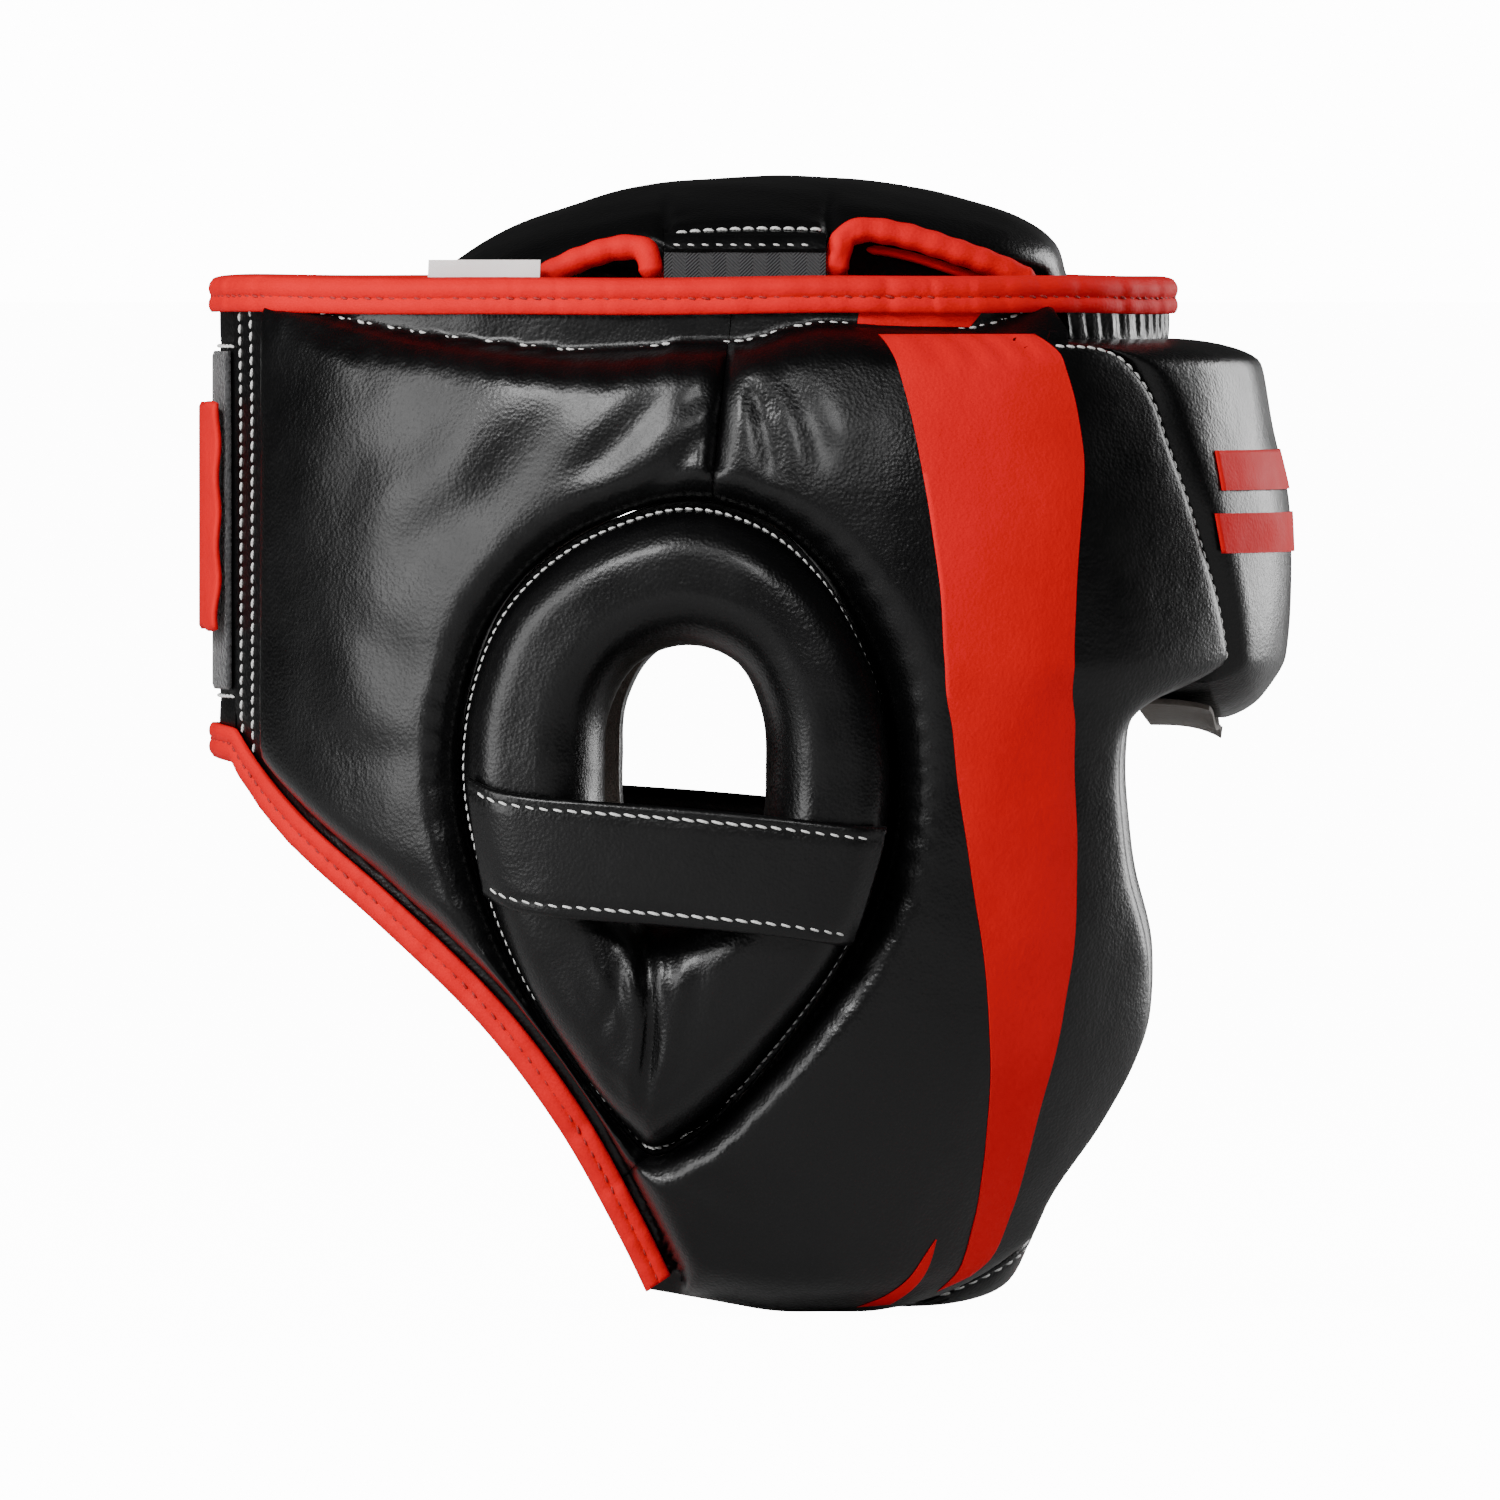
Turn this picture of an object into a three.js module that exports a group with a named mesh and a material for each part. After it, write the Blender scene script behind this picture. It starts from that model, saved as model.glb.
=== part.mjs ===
// Boxing headgear for sparring: padded forehead, cheek and wing panels round an open face, an ear ring with a
// strap on each side, a padded crown hung on elastic, a hook-and-loop rear closure and a chin strap.
// Units are millimetres. +X is the wearer's front, +Y the wearer's left, +Z up. The jaw pads stand on z = 0.
//
// Every shell panel is drawn on a chart of the head: s runs round the head (0 at the ear, positive to the
// front), z is height, and t is the distance out from the lining's inner face. place() turns (s, z, t) into
// space. A grid is an array of lines of nodes {s, z, t}, and neighbours share the nodes of their seam.
import * as THREE from "three";

// ---------------------------------------------------------------- driving dimensions
const shellLength = 262; // forehead pad to rear closure
const shellWidth = 208; // across the ear rings' ground
const rimHeight = 247.4; // jaw to the top of the rim binding
const crownRise = 23.4; // crown pad above the rim

const skin = 1.4; // leather cover
const liningWall = 1.4; // soft lining sheet
const clearance = 0.3; // between two pieces that touch
const seamGap = 0.2; // each panel stops this far short of its seam
const borderThickness = 4.2; // cover and lining pressed together at a bound edge
const bindingWidth = 8.8; // binding tape, edge to edge
const bindingWall = 1.4;
const bindingClearance = 0.5; // between a binding and the edge inside it
const rimBorder = 8.2; // flat leather between the rim binding and the padding
const neckBorder = 3.2; // the same along the neck edge
const rearBorder = 19; // flat double-stitched strip at the wing's rear edge
const padCorner = 10; // how far the padding takes to rise from a bound edge
const foreheadCorner = 6; // radius of the forehead pad's top edge
const cheekEdge = 9; // thickness of the pads along the face opening
const jawFoot = 14; // thickness of the pads where they stand
const seamDip = 6; // how much lower a seam between two pads lies
const ringSeamHeight = 9; // ear ring's outer seam above the lining's inner face
const ringCorner = 13; // how far the padding takes to rise from that seam
const ringBulge = 3; // ear ring's roll above the panels round it
const pocketMargin = 2.2; // cover between its own edge and its foam pocket
const foamInset = 3; // the foam stays this far inside its pocket's seam
const foamPlay = 1.5; // and this far under the cover
const cornerHold = 0.3; // share by which it is held back again at a sharp corner

const earStrapWidth = 29;
const earStrapThickness = 2.4;
const strapStandOff = 1.9; // between the ear ring's roll and the strap
const rearPanelThickness = 4.2;
const loopFieldHeight = 81;
const loopFieldThickness = 1.4;
const rearStrapWidth = 55;
const rearStrapThickness = 1.6;
const hookThickness = 0.8;
const crownThickness = 9.5;
const tabThickness = 2;
const elasticThickness = 1.4;
const chinStrapThickness = 2.4;
const chinLoopThickness = 1.1;
const cordRadius = 3.2; // crown binding

// The outlines below were drawn at these sizes; other sizes stretch them.
const drawn = { length: 262, width: 208, rim: 247.4 };
const kx = shellLength / drawn.length;
const ky = shellWidth / drawn.width;
const kz = rimHeight / drawn.rim;

// ---------------------------------------------------------------- head form
// Height, front reach outside and inside, half-width outside and inside, rear reach inside.
const stations = [
  [-12, 70, 52, 70, 49, 95],
  [0, 76, 58, 74, 52, 98],
  [14, 80, 62, 80, 57, 101],
  [40, 97, 74, 90, 66, 108],
  [60, 108, 82, 96, 72, 113],
  [83, 114, 88, 100, 76, 118],
  [110, 117, 91, 103, 79, 121.5],
  [130, 119, 94, 104, 80, 122.3],
  [145, 124, 96, 104, 80, 122.3],
  [156, 130, 96.5, 104, 80, 122.3],
  [190, 131, 97, 102, 79, 122.3],
  [210, 127, 97, 99, 77, 122.3],
  [225, 124.3, 97, 94, 75, 122.3],
  [232, 121.5, 97, 91, 74.4, 122.3],
  [240, 107, 97, 87.4, 74, 122.3],
  [252, 104, 97, 84, 74, 122.3],
].map(([z, a, ai, b, bi, ci]) => [z * kz, a * kx, ai * kx, b * ky, bi * ky, ci * kx]);
const rearPadding = 8.7; // full padding at the very back
const rearSurface = 5; // visible surface above the lining there, used to read outlines

// Smooth value of one column of the stations at height z (cubic Hermite through the stations).
function station(column, z) {
  const last = stations.length - 1;
  const clamped = Math.min(Math.max(z, stations[0][0]), stations[last][0]);
  let k = 0;
  while (k < last - 1 && clamped > stations[k + 1][0]) k++;
  const slope = (i) => {
    const lo = stations[Math.max(i - 1, 0)];
    const hi = stations[Math.min(i + 1, last)];
    return (hi[column] - lo[column]) / (hi[0] - lo[0]);
  };
  const [p, q] = [stations[k], stations[k + 1]];
  const span = q[0] - p[0];
  const u = (clamped - p[0]) / span;
  const [u2, u3] = [u * u, u * u * u];
  return (
    p[column] * (2 * u3 - 3 * u2 + 1) +
    q[column] * (3 * u2 - 2 * u3) +
    span * (slope(k) * (u3 - 2 * u2 + u) + slope(k + 1) * (u3 - u2))
  );
}

// The lining's inner face and the full padding's outer face at angle theta (0 front, 90 degrees right ear).
function faces(theta, z) {
  const [c, s] = [Math.cos(theta), Math.sin(theta)];
  const rear = station(5, z);
  const inside = [(c > 0 ? station(2, z) : rear) * c, -station(4, z) * s];
  const outside = [(c > 0 ? station(1, z) : rear + rearPadding) * c, -station(3, z) * s];
  return { inside, outside };
}

// Full padding thickness at theta and z.
function fullThickness(theta, z) {
  const { inside, outside } = faces(theta, z);
  return Math.hypot(outside[0] - inside[0], outside[1] - inside[1]);
}

// Chart arc length s against theta, measured on one mean ellipse, so the chart is nearly true to scale.
const chart = { front: 112 * kx, rear: 124 * kx, side: 95 * ky, steps: 720 };
const arcTable = (() => {
  const table = [0];
  for (let i = 1; i <= chart.steps; i++) {
    const theta = ((i - 0.5) / chart.steps) * Math.PI;
    const a = theta < Math.PI / 2 ? chart.front : chart.rear;
    const speed = Math.hypot(a * Math.sin(theta), chart.side * Math.cos(theta));
    table.push(table[i - 1] + (speed * Math.PI) / chart.steps);
  }
  return table;
})();
const earArc = arcTable[chart.steps / 2];

// s of an angle theta between 0 and pi; s is 0 at the ear and grows towards the front.
function unroll(theta) {
  const f = (Math.abs(theta) / Math.PI) * chart.steps;
  const i = Math.min(Math.floor(f), chart.steps - 1);
  return earArc - (arcTable[i] + (arcTable[i + 1] - arcTable[i]) * (f - i));
}

// The angle of s; past the front or back centre line it carries on round the other side.
function angleOf(s) {
  const total = arcTable[chart.steps];
  let arc = earArc - s;
  if (arc < 0) return -angleOf(earArc + arc);
  if (arc > total) return 2 * Math.PI - angleOf(earArc - (2 * total - arc));
  let [lo, hi] = [0, chart.steps];
  while (hi - lo > 1) {
    const mid = (lo + hi) >> 1;
    if (arcTable[mid] > arc) hi = mid;
    else lo = mid;
  }
  const f = (arc - arcTable[lo]) / (arcTable[hi] - arcTable[lo]);
  return ((lo + f) / chart.steps) * Math.PI;
}

// Chart node from side-view coordinates, x forwards and z up, as an outline is drawn.
function node(x, z) {
  const [px, pz] = [x * kx, z * kz];
  const reach = px > 0 ? station(1, pz) : station(5, pz) + rearSurface;
  return { s: unroll(Math.acos(Math.max(-1, Math.min(1, px / reach)))), z: pz, t: 0 };
}

// A chart node in space. side is 1 for the wearer's right and -1 for the left.
function place({ s, z, t }, side = 1) {
  const { inside, outside } = faces(angleOf(s), z);
  const [dx, dy] = [outside[0] - inside[0], outside[1] - inside[1]];
  const k = t / Math.hypot(dx, dy);
  return new THREE.Vector3(inside[0] + dx * k, side * (inside[1] + dy * k), z);
}

const thicknessAt = ({ s, z }) => fullThickness(angleOf(s), z);
const mix = (a, b, f) => ({
  s: a.s + (b.s - a.s) * f,
  z: a.z + (b.z - a.z) * f,
  t: a.t + (b.t - a.t) * f,
});
const flatDistance = (a, b) => Math.hypot(a.s - b.s, a.z - b.z);
// A quarter round: 0 at the edge, 1 from one radius inwards.
const quarterRound = (x) => Math.sqrt(1 - (1 - Math.min(Math.max(x, 0), 1)) ** 2);

// ---------------------------------------------------------------- solids from grids
// Closed geometry from points and quads; a solid that comes out inside out is turned round.
function closedGeometry(points, quads) {
  const index = quads.flatMap(([a, b, c, d]) => [a, b, c, a, c, d]);
  let volume = 0;
  for (let i = 0; i < index.length; i += 3) {
    const [p, q, r] = [points[index[i]], points[index[i + 1]], points[index[i + 2]]];
    volume += p.dot(new THREE.Vector3().crossVectors(q, r));
  }
  if (volume < 0) index.reverse();
  const geometry = new THREE.BufferGeometry().setFromPoints(points);
  geometry.setIndex(index);
  geometry.computeVertexNormals();
  return geometry;
}

// The solid between a top and a base grid of points. With a ceiling it is a tray: the cells inside the
// outermost lines are hollowed from the base up to the ceiling. ring joins the last line to the first.
function gridSolid(top, base, { ceiling = null, ring = false } = {}) {
  const [nu, nv] = [top.length, top[0].length];
  const layers = ceiling ? [top, base, ceiling] : [top, base];
  const points = layers.flat(2);
  const at = (layer, i, j) => layer * nu * nv + (i % nu) * nv + j;
  const cells = ring ? nu : nu - 1;
  const inPocket = (i, j) => {
    if (!ceiling || j < 1 || j > nv - 3) return false;
    return ring || (i >= 1 && i <= nu - 3);
  };
  const exists = (i, j) => j >= 0 && j < nv - 1 && (ring || (i >= 0 && i < cells));
  const quads = [];
  for (let i = 0; i < cells; i++) {
    for (let j = 0; j < nv - 1; j++) {
      const corners = [[i, j], [i + 1, j], [i + 1, j + 1], [i, j + 1]];
      const under = inPocket(i, j) ? 2 : 1;
      quads.push(corners.map(([a, b]) => at(0, a, b)));
      quads.push([0, 3, 2, 1].map((k) => at(under, ...corners[k])));
      const beyond = [[i, j - 1], [i + 1, j], [i, j + 1], [i - 1, j]];
      beyond.forEach(([a, b], edge) => {
        const [p, q] = [corners[edge], corners[(edge + 1) % 4]];
        if (!exists(a, b)) quads.push([at(0, ...q), at(0, ...p), at(1, ...p), at(1, ...q)]);
        else if (inPocket(i, j) && !inPocket(a, b))
          quads.push([at(2, ...p), at(2, ...q), at(1, ...q), at(1, ...p)]);
      });
    }
  }
  return closedGeometry(points, quads);
}

// A closed section of points carried along a path of frames; loop joins the end to the start.
function sweptSolid(sections, loop = false) {
  const n = sections[0].length;
  const points = sections.flat();
  const quads = [];
  const steps = loop ? sections.length : sections.length - 1;
  for (let i = 0; i < steps; i++) {
    const next = ((i + 1) % sections.length) * n;
    for (let k = 0; k < n; k++) {
      quads.push([i * n + k, i * n + ((k + 1) % n), next + ((k + 1) % n), next + k]);
    }
  }
  if (!loop) {
    for (const [row, turn] of [[0, true], [sections.length - 1, false]]) {
      const centre = points.length;
      points.push(sections[row].reduce((a, p) => a.add(p), new THREE.Vector3()).divideScalar(n));
      for (let k = 0; k < n; k++) {
        const [a, b] = [row * n + k, row * n + ((k + 1) % n)];
        quads.push(turn ? [centre, b, a, a] : [centre, a, b, b]);
      }
    }
  }
  return closedGeometry(points, quads.map((q) => (q[2] === q[3] ? [q[0], q[1], q[2], q[0]] : q)));
}

const mapGrid = (grid, change) => grid.map((line, i) => line.map((n, j) => change(n, i, j)));
const withT = (grid, t) => mapGrid(grid, (n) => ({ ...n, t }));
const lowered = (grid, by) => mapGrid(grid, (n) => ({ ...n, t: n.t - by }));
const inSpace = (grid, side) => mapGrid(grid, (n) => place(n, side));

// The grid with its outer lines drawn in by a gap along the chart; ring leaves the joined lines alone.
function drawnIn(grid, gap, ring = false) {
  const step = (a, b) => {
    return a.free ? a : mix(a, b, Math.min(gap / Math.max(flatDistance(a, b), 1e-6), 0.45));
  };
  const inV = grid.map((line) => {
    const n = line.length;
    return line.map((p, j) => {
      if (j === 0) return step(p, line[1]);
      return j === n - 1 ? step(p, line[n - 2]) : p;
    });
  });
  if (ring) return inV;
  const n = inV.length;
  return inV.map((line, i) => {
    if (i > 0 && i < n - 1) return line;
    const inner = inV[i === 0 ? 1 : n - 2];
    return line.map((p, j) => step(p, inner[j]));
  });
}

// Cover (tray), foam and lining over one grid whose t is the pad's outer height. Corners are the lines
// that run into a sharp corner of the outline, where the foam stays further in.
function paddedLayers(grid, { ring = false, corners = [] } = {}) {
  const outer = drawnIn(grid, seamGap, ring);
  const baseT = liningWall + clearance;
  const ceiling = lowered(outer, skin);
  // The foam ends one line short of its pocket's walls, where the cover is still rising.
  const outermost = ring ? -1 : -2;
  const heldBack = ceiling.map((line, i) => {
    const inner = line.length + outermost - 2;
    const held = (n, j) => (j > inner ? mix(n, line[inner], cornerHold) : n);
    return corners.includes(i) ? line.map(held) : line;
  });
  const pocket = (ring ? heldBack : heldBack.slice(2, -2)).map((line) => line.slice(1, outermost));
  const foamTop = lowered(drawnIn(pocket, foamInset, ring), foamPlay);
  const foamBase = withT(foamTop, baseT + clearance / 2);
  return {
    cover: (side) =>
      gridSolid(inSpace(outer, side), inSpace(withT(outer, baseT), side), {
        ceiling: inSpace(ceiling, side),
        ring,
      }),
    foam: (side) => gridSolid(inSpace(foamTop, side), inSpace(foamBase, side), { ring }),
    lining: (side) =>
      gridSolid(inSpace(withT(outer, liningWall), side), inSpace(withT(outer, 0), side), { ring }),
  };
}

// ---------------------------------------------------------------- outlines, drawn in side view
const earCentre = node(-12, 130);
const rimTop = 245.6; // panel edge inside the rim binding
const dart = -1; // seam above the ear
const bandX = 80; // seam between side panel and forehead band
const bandZ = 232; // top of the forehead pad
// Straight below the seam's top end on the chart, as x is drawn there.
const bandFoot = (station(1, bandZ * kz) * Math.cos(angleOf(node(bandX, rimTop).s))) / kx;
const rearX = -123.2;
const neckTop = 133.4;
const jawRear = [-19.5, 6.2];

// Each stretch of the side panels' outer edge, clockwise from the dart: its points, the number of cells along
// it, the flat border, the thickness at the edge and the rise of the padding.
const boundRim = { border: rimBorder + bindingWidth - 1.8, edge: borderThickness, corner: padCorner + 3 };
const stretches = {
  rimFront: { points: [[dart, rimTop], [40, rimTop], [bandX, rimTop]], cells: 3, free: true, ...boundRim },
  bandSeam: { points: [[bandX, rimTop], [bandFoot, bandZ]], cells: 1, ...boundRim },
  foreheadSeam: {
    points: [
      [bandFoot, bandZ], [98, 227], [102, 218], [106, 206], [110, 193], [115, 177], [119, 162], [117.5, 150],
    ],
    cells: 5,
    border: 0,
    edge: -seamDip,
    corner: 6,
  },
  browUnder: {
    points: [[117.5, 150], [104, 143], [98, 139]],
    cells: 2, border: 0, edge: 13, corner: 9, free: true,
  },
  faceEdge: {
    points: [[98, 139], [95.4, 124], [97, 107], [100.2, 88], [98.6, 66], [86, 43], [74, 28], [69, 17]],
    cells: 6,
    border: 0,
    edge: cheekEdge,
    corner: 15,
    free: true,
  },
  jaw: {
    points: [[69, 17], [56, 6.4], [39, 0], [11, 0], [-4, 2.8], [-14.5, 5.1], jawRear],
    cells: 6,
    border: 0,
    edge: jawFoot,
    corner: 12,
    free: true,
  },
  neck: {
    points: [jawRear, [-27, 22], [-41.5, 47.5], [-61, 72.5], [-85.5, 95.5], [-108, 115], [rearX, neckTop]],
    cells: 7,
    border: bindingWidth - 1.5 + neckBorder,
    edge: borderThickness,
    corner: padCorner,
    free: true,
  },
  rear: {
    points: [[rearX, neckTop], [rearX, rimTop]],
    cells: 3,
    border: rearBorder,
    edge: borderThickness,
    corner: 8,
  },
  rimRear: {
    points: [[rearX, rimTop], [-113, rimTop], [-91, rimTop], [-62, rimTop], [-31, rimTop], [dart, rimTop]],
    cells: 5,
    free: true,
    ...boundRim,
  },
};

// Smooth open curve through chart nodes, sampled evenly along its length.
function sampled(points, cells, straight = false) {
  const vectors = points.map(([x, z]) => {
    const n = node(x, z);
    return new THREE.Vector3(n.s, n.z, 0);
  });
  const type = straight ? "catmullrom" : "centripetal";
  const curve = new THREE.CatmullRomCurve3(vectors, false, type, straight ? 0 : 0.5);
  return curve.getSpacedPoints(cells).map((v) => ({ s: v.x, z: v.y, t: 0 }));
}

// The whole outer edge as nodes that carry their border, edge thickness and corner.
const edgeNodes = [];
const edgeStart = {};
for (const [name, stretch] of Object.entries(stretches)) {
  edgeStart[name] = edgeNodes.length;
  // The jaw's foot has a flat face to stand on, and the rim's rear corner a short cell.
  const exact = name === "jaw" || name === "rimRear";
  const along = exact
    ? stretch.points.map(([x, z]) => node(x, z))
    : sampled(stretch.points, stretch.cells, name === "rimFront");
  along.slice(0, -1).forEach((n) => edgeNodes.push({ ...n, stretch }));
}
const edgeCount = edgeNodes.length;
// At a node where two stretches meet, the thickness, border and corner are halfway between theirs.
const edgeHeight = (n) => (n.stretch.edge < 0 ? thicknessAt(n) + n.stretch.edge : n.stretch.edge);
const edges = edgeNodes.map((n, i) => {
  const before = edgeNodes[(i + edgeCount - 1) % edgeCount].stretch;
  const mean = (key) => (n.stretch[key] + before[key]) / 2;
  const height = (edgeHeight(n) + edgeHeight({ ...n, stretch: before })) / 2;
  const free = Boolean(n.stretch.free && before.free);
  return { s: n.s, z: n.z, t: height, border: mean("border"), corner: mean("corner"), free };
});
for (const name of ["foreheadSeam", "bandSeam"]) {
  const n = edges[edgeStart[name]];
  Object.assign(n, { t: borderThickness, border: boundRim.border, corner: boundRim.corner });
}
edges[edgeStart.foreheadSeam].border = 3;
edges[edgeStart.rimRear].border += 2;
// The neck binding runs to the jaw's rear corner, so the border is flat there too.
const neckEdge = bindingWidth - 1.5 + neckBorder;
Object.assign(edges[edgeStart.neck], { t: borderThickness, border: neckEdge, corner: padCorner });
Object.assign(edges[edgeStart.neck - 1], { t: borderThickness, border: 4, corner: padCorner });
Object.assign(edges[edgeStart.neck - 2], { t: 10, border: 0 });

// Ear ring's outer seam and the ear hole, both round the ear's centre.
const ringPoints = [
  [-10, 194], [-30, 189.5], [-45, 181], [-57, 168], [-64.5, 150], [-67, 130], [-63.5, 108], [-55, 84],
  [-40.5, 60], [-28.5, 44.5], [-21.5, 38], [-12, 41.5], [1, 52.5], [16, 68], [29, 85], [38, 104],
  [41.4, 124], [40.4, 143], [34.5, 161.5], [24, 177], [9, 188.5],
];
const holePoints = [
  [-12, 159.5], [-24, 155.5], [-31, 145], [-32.5, 130], [-31.5, 112], [-27, 99.5], [-20.5, 93.5],
  [-12, 96], [-1, 103], [6, 114], [8, 130], [6.5, 145], [-1, 156],
];

// Closed outline as radius against angle round the ear's centre.
function polarOutline(points) {
  const list = points
    .map(([x, z]) => node(x, z))
    .map((n) => [Math.atan2(n.z - earCentre.z, n.s - earCentre.s), flatDistance(n, earCentre)])
    .sort((a, b) => a[0] - b[0]);
  const turn = 2 * Math.PI;
  const n = list.length;
  const item = (i) => {
    const k = ((i % n) + n) % n;
    return [list[k][0] + turn * Math.floor(i / n), list[k][1]];
  };
  return (angle) => {
    let a = angle;
    while (a < list[0][0]) a += turn;
    while (a >= list[0][0] + turn) a -= turn;
    let i = n - 1;
    while (i > 0 && item(i)[0] > a) i--;
    const [p0, p1, p2, p3] = [item(i - 1), item(i), item(i + 1), item(i + 2)];
    const u = (a - p1[0]) / (p2[0] - p1[0]);
    const m1 = ((p2[1] - p0[1]) / (p2[0] - p0[0])) * (p2[0] - p1[0]);
    const m2 = ((p3[1] - p1[1]) / (p3[0] - p1[0])) * (p2[0] - p1[0]);
    const [u2, u3] = [u * u, u * u * u];
    return (
      p1[1] * (2 * u3 - 3 * u2 + 1) + p2[1] * (3 * u2 - 2 * u3) + m1 * (u3 - 2 * u2 + u) + m2 * (u3 - u2)
    );
  };
}
const ringRadius = polarOutline(ringPoints);
const holeRadius = polarOutline(holePoints);
const onOutline = (radius, angle) => ({
  s: earCentre.s + radius(angle) * Math.cos(angle),
  z: earCentre.z + radius(angle) * Math.sin(angle),
  t: 0,
});

// The ear-centred angle of each edge node, unwrapped clockwise and evened out so that cells stay well shaped.
const angles = (() => {
  const raw = [];
  for (const n of edges) {
    let a = Math.atan2(n.z - earCentre.z, n.s - earCentre.s);
    if (raw.length) while (a > raw[raw.length - 1] + Math.PI) a -= 2 * Math.PI;
    raw.push(a);
  }
  // The line at the ring's lower tip and the one at the brow's corner keep their own angles.
  const tip = node(-21.5, 38);
  const pinned = {
    [edgeStart.neck + 1]: Math.atan2(tip.z - earCentre.z, tip.s - earCentre.s),
    [edgeStart.browUnder]: Math.PI * 0.085,
  };
  let current = raw;
  for (let pass = 0; pass < 6; pass++) {
    current = current.map((a, i) => {
      if (i === 0) return a;
      if (i in pinned) return pinned[i];
      const next = i + 1 < edgeCount ? current[i + 1] : current[0] - 2 * Math.PI;
      return (current[i - 1] + 2 * a + next) / 4;
    });
  }
  return current;
})();

// ---------------------------------------------------------------- side panels
// Unit direction square to the edge at edge node i, pointing into the panel.
function inwardAt(i) {
  const before = edges[(i + edgeCount - 1) % edgeCount];
  const after = edges[(i + 1) % edgeCount];
  const length = flatDistance(before, after);
  return [(after.z - before.z) / length, -(after.s - before.s) / length];
}

// Nodes of line i from the ring's seam out to the edge, with the pad's height over each. The last stretch
// crosses the flat border square to the edge.
function panelLine(r, e, i) {
  const room = flatDistance(r, e);
  const border = Math.min(Math.max(e.border, 1.2), room * 0.78);
  const [ds, dz] = inwardAt(i);
  const turn = { s: e.s + ds * border, z: e.z + dz * border, t: 0 };
  const length = flatDistance(r, turn);
  const margin = Math.min(pocketMargin, length * 0.1);
  const pocketEnd = length - Math.min(1.4, length * 0.1);
  const span = pocketEnd - margin;
  const rise = margin + Math.min(ringCorner, span * 0.36);
  const fall = pocketEnd - Math.min(e.corner, span * 0.36);
  const line = [0, margin, rise, fall, pocketEnd, length].map((d) => {
    const n = mix(r, turn, d / length);
    const full = thicknessAt(n);
    const low = Math.min(e.t, full);
    const toBorder = length - d + border - Math.max(e.border, 0);
    const fromEdge = low + (full - low) * quarterRound(toBorder / e.corner);
    const fromRing = ringSeamHeight + (full - ringSeamHeight) * quarterRound(d / ringCorner);
    return { ...n, t: Math.min(fromEdge, fromRing) };
  });
  return [...line, { s: e.s, z: e.z, t: e.t, free: e.free }];
}

const ringSeam = angles.map((a) => onOutline(ringRadius, a));
const sideLines = edges.map((e, i) => panelLine(ringSeam[i], e, i));
const tipLine = edgeStart.neck + 1;
const cheekGrid = sideLines.slice(0, tipLine + 1);
const wingGrid = [...sideLines.slice(tipLine), sideLines[0]];

// ---------------------------------------------------------------- ear ring
// Height of the ring's roll over a node that lies the fraction f of the way from the hole to the seam.
function ringHeight(n, f) {
  const full = thicknessAt(n) + ringBulge;
  const rise = quarterRound(f / 0.34) * quarterRound((1 - f) / 0.5);
  return ringSeamHeight + (full - ringSeamHeight) * rise;
}
const ringGrid = angles.map((a, i) => {
  const hole = onOutline(holeRadius, a);
  return [0, 0.12, 0.42, 0.82, 1].map((f) => {
    const n = mix(hole, ringSeam[i], f);
    return { ...n, t: ringHeight(n, f), free: f === 0 };
  });
});

// ---------------------------------------------------------------- forehead
const seamLine = edges.slice(edgeStart.foreheadSeam, edgeStart.browUnder + 1).reverse();
seamLine.splice(-1, 0, mix(seamLine[seamLine.length - 2], seamLine[seamLine.length - 1], 0.84));
const frontCentre = earArc; // s of the front centre line
const mirrored = (n) => ({ ...n, s: 2 * frontCentre - n.s });
const foreheadCells = 8;
const browCentre = 141 * kz; // the pad's lower edge at the centre
// Lines run across from the right seam to the left one; nodes run from the brow to the top edge.
const foreheadGrid = Array.from({ length: foreheadCells + 1 }, (_, i) => {
  const across = i / foreheadCells;
  const bow = 1 - (2 * across - 1) ** 2;
  const last = seamLine.length - 1;
  return seamLine.map((n, j) => {
    const point = mix(n, mirrored(n), across);
    const up = j / last;
    point.z += (browCentre - seamLine[0].z) * bow * (1 - up) ** 2;
    const full = thicknessAt(point);
    const fromTop = quarterRound((bandZ * kz - point.z) / foreheadCorner);
    const edge = j === 0 ? full - 9 : full;
    const seam = i === 0 || i === foreheadCells ? n.t : Infinity;
    const top = borderThickness + (full - borderThickness) * fromTop;
    return { ...point, t: Math.min(edge, seam, j === last ? borderThickness + 2 : top) };
  });
});

// The gathered band between the forehead pad and the rim binding.
const bandSide = [edges[edgeStart.foreheadSeam], edges[edgeStart.bandSeam]];
const bandGrid = Array.from({ length: foreheadCells + 1 }, (_, i) =>
  bandSide.map((n) => ({ ...mix(n, mirrored(n), i / foreheadCells), t: borderThickness })),
);

// ---------------------------------------------------------------- rear panel and closure
const rearCentre = earArc - arcTable[chart.steps];
const rearMirror = (n) => ({ ...n, s: 2 * rearCentre - n.s });
const rearEdge = edges.slice(edgeStart.rear, edgeStart.rimRear + 1);
const rearCells = 4;
const rearBottom = 133 * kz; // the panel's lower edge at the centre
const rearPanelGrid = Array.from({ length: rearCells + 1 }, (_, i) => {
  const across = i / rearCells;
  return rearEdge.map((n, j) => {
    const point = mix(n, rearMirror(n), across);
    if (j === 0) point.z += (rearBottom - n.z) * (1 - (2 * across - 1) ** 2);
    return { ...point, t: rearPanelThickness };
  });
});

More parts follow.
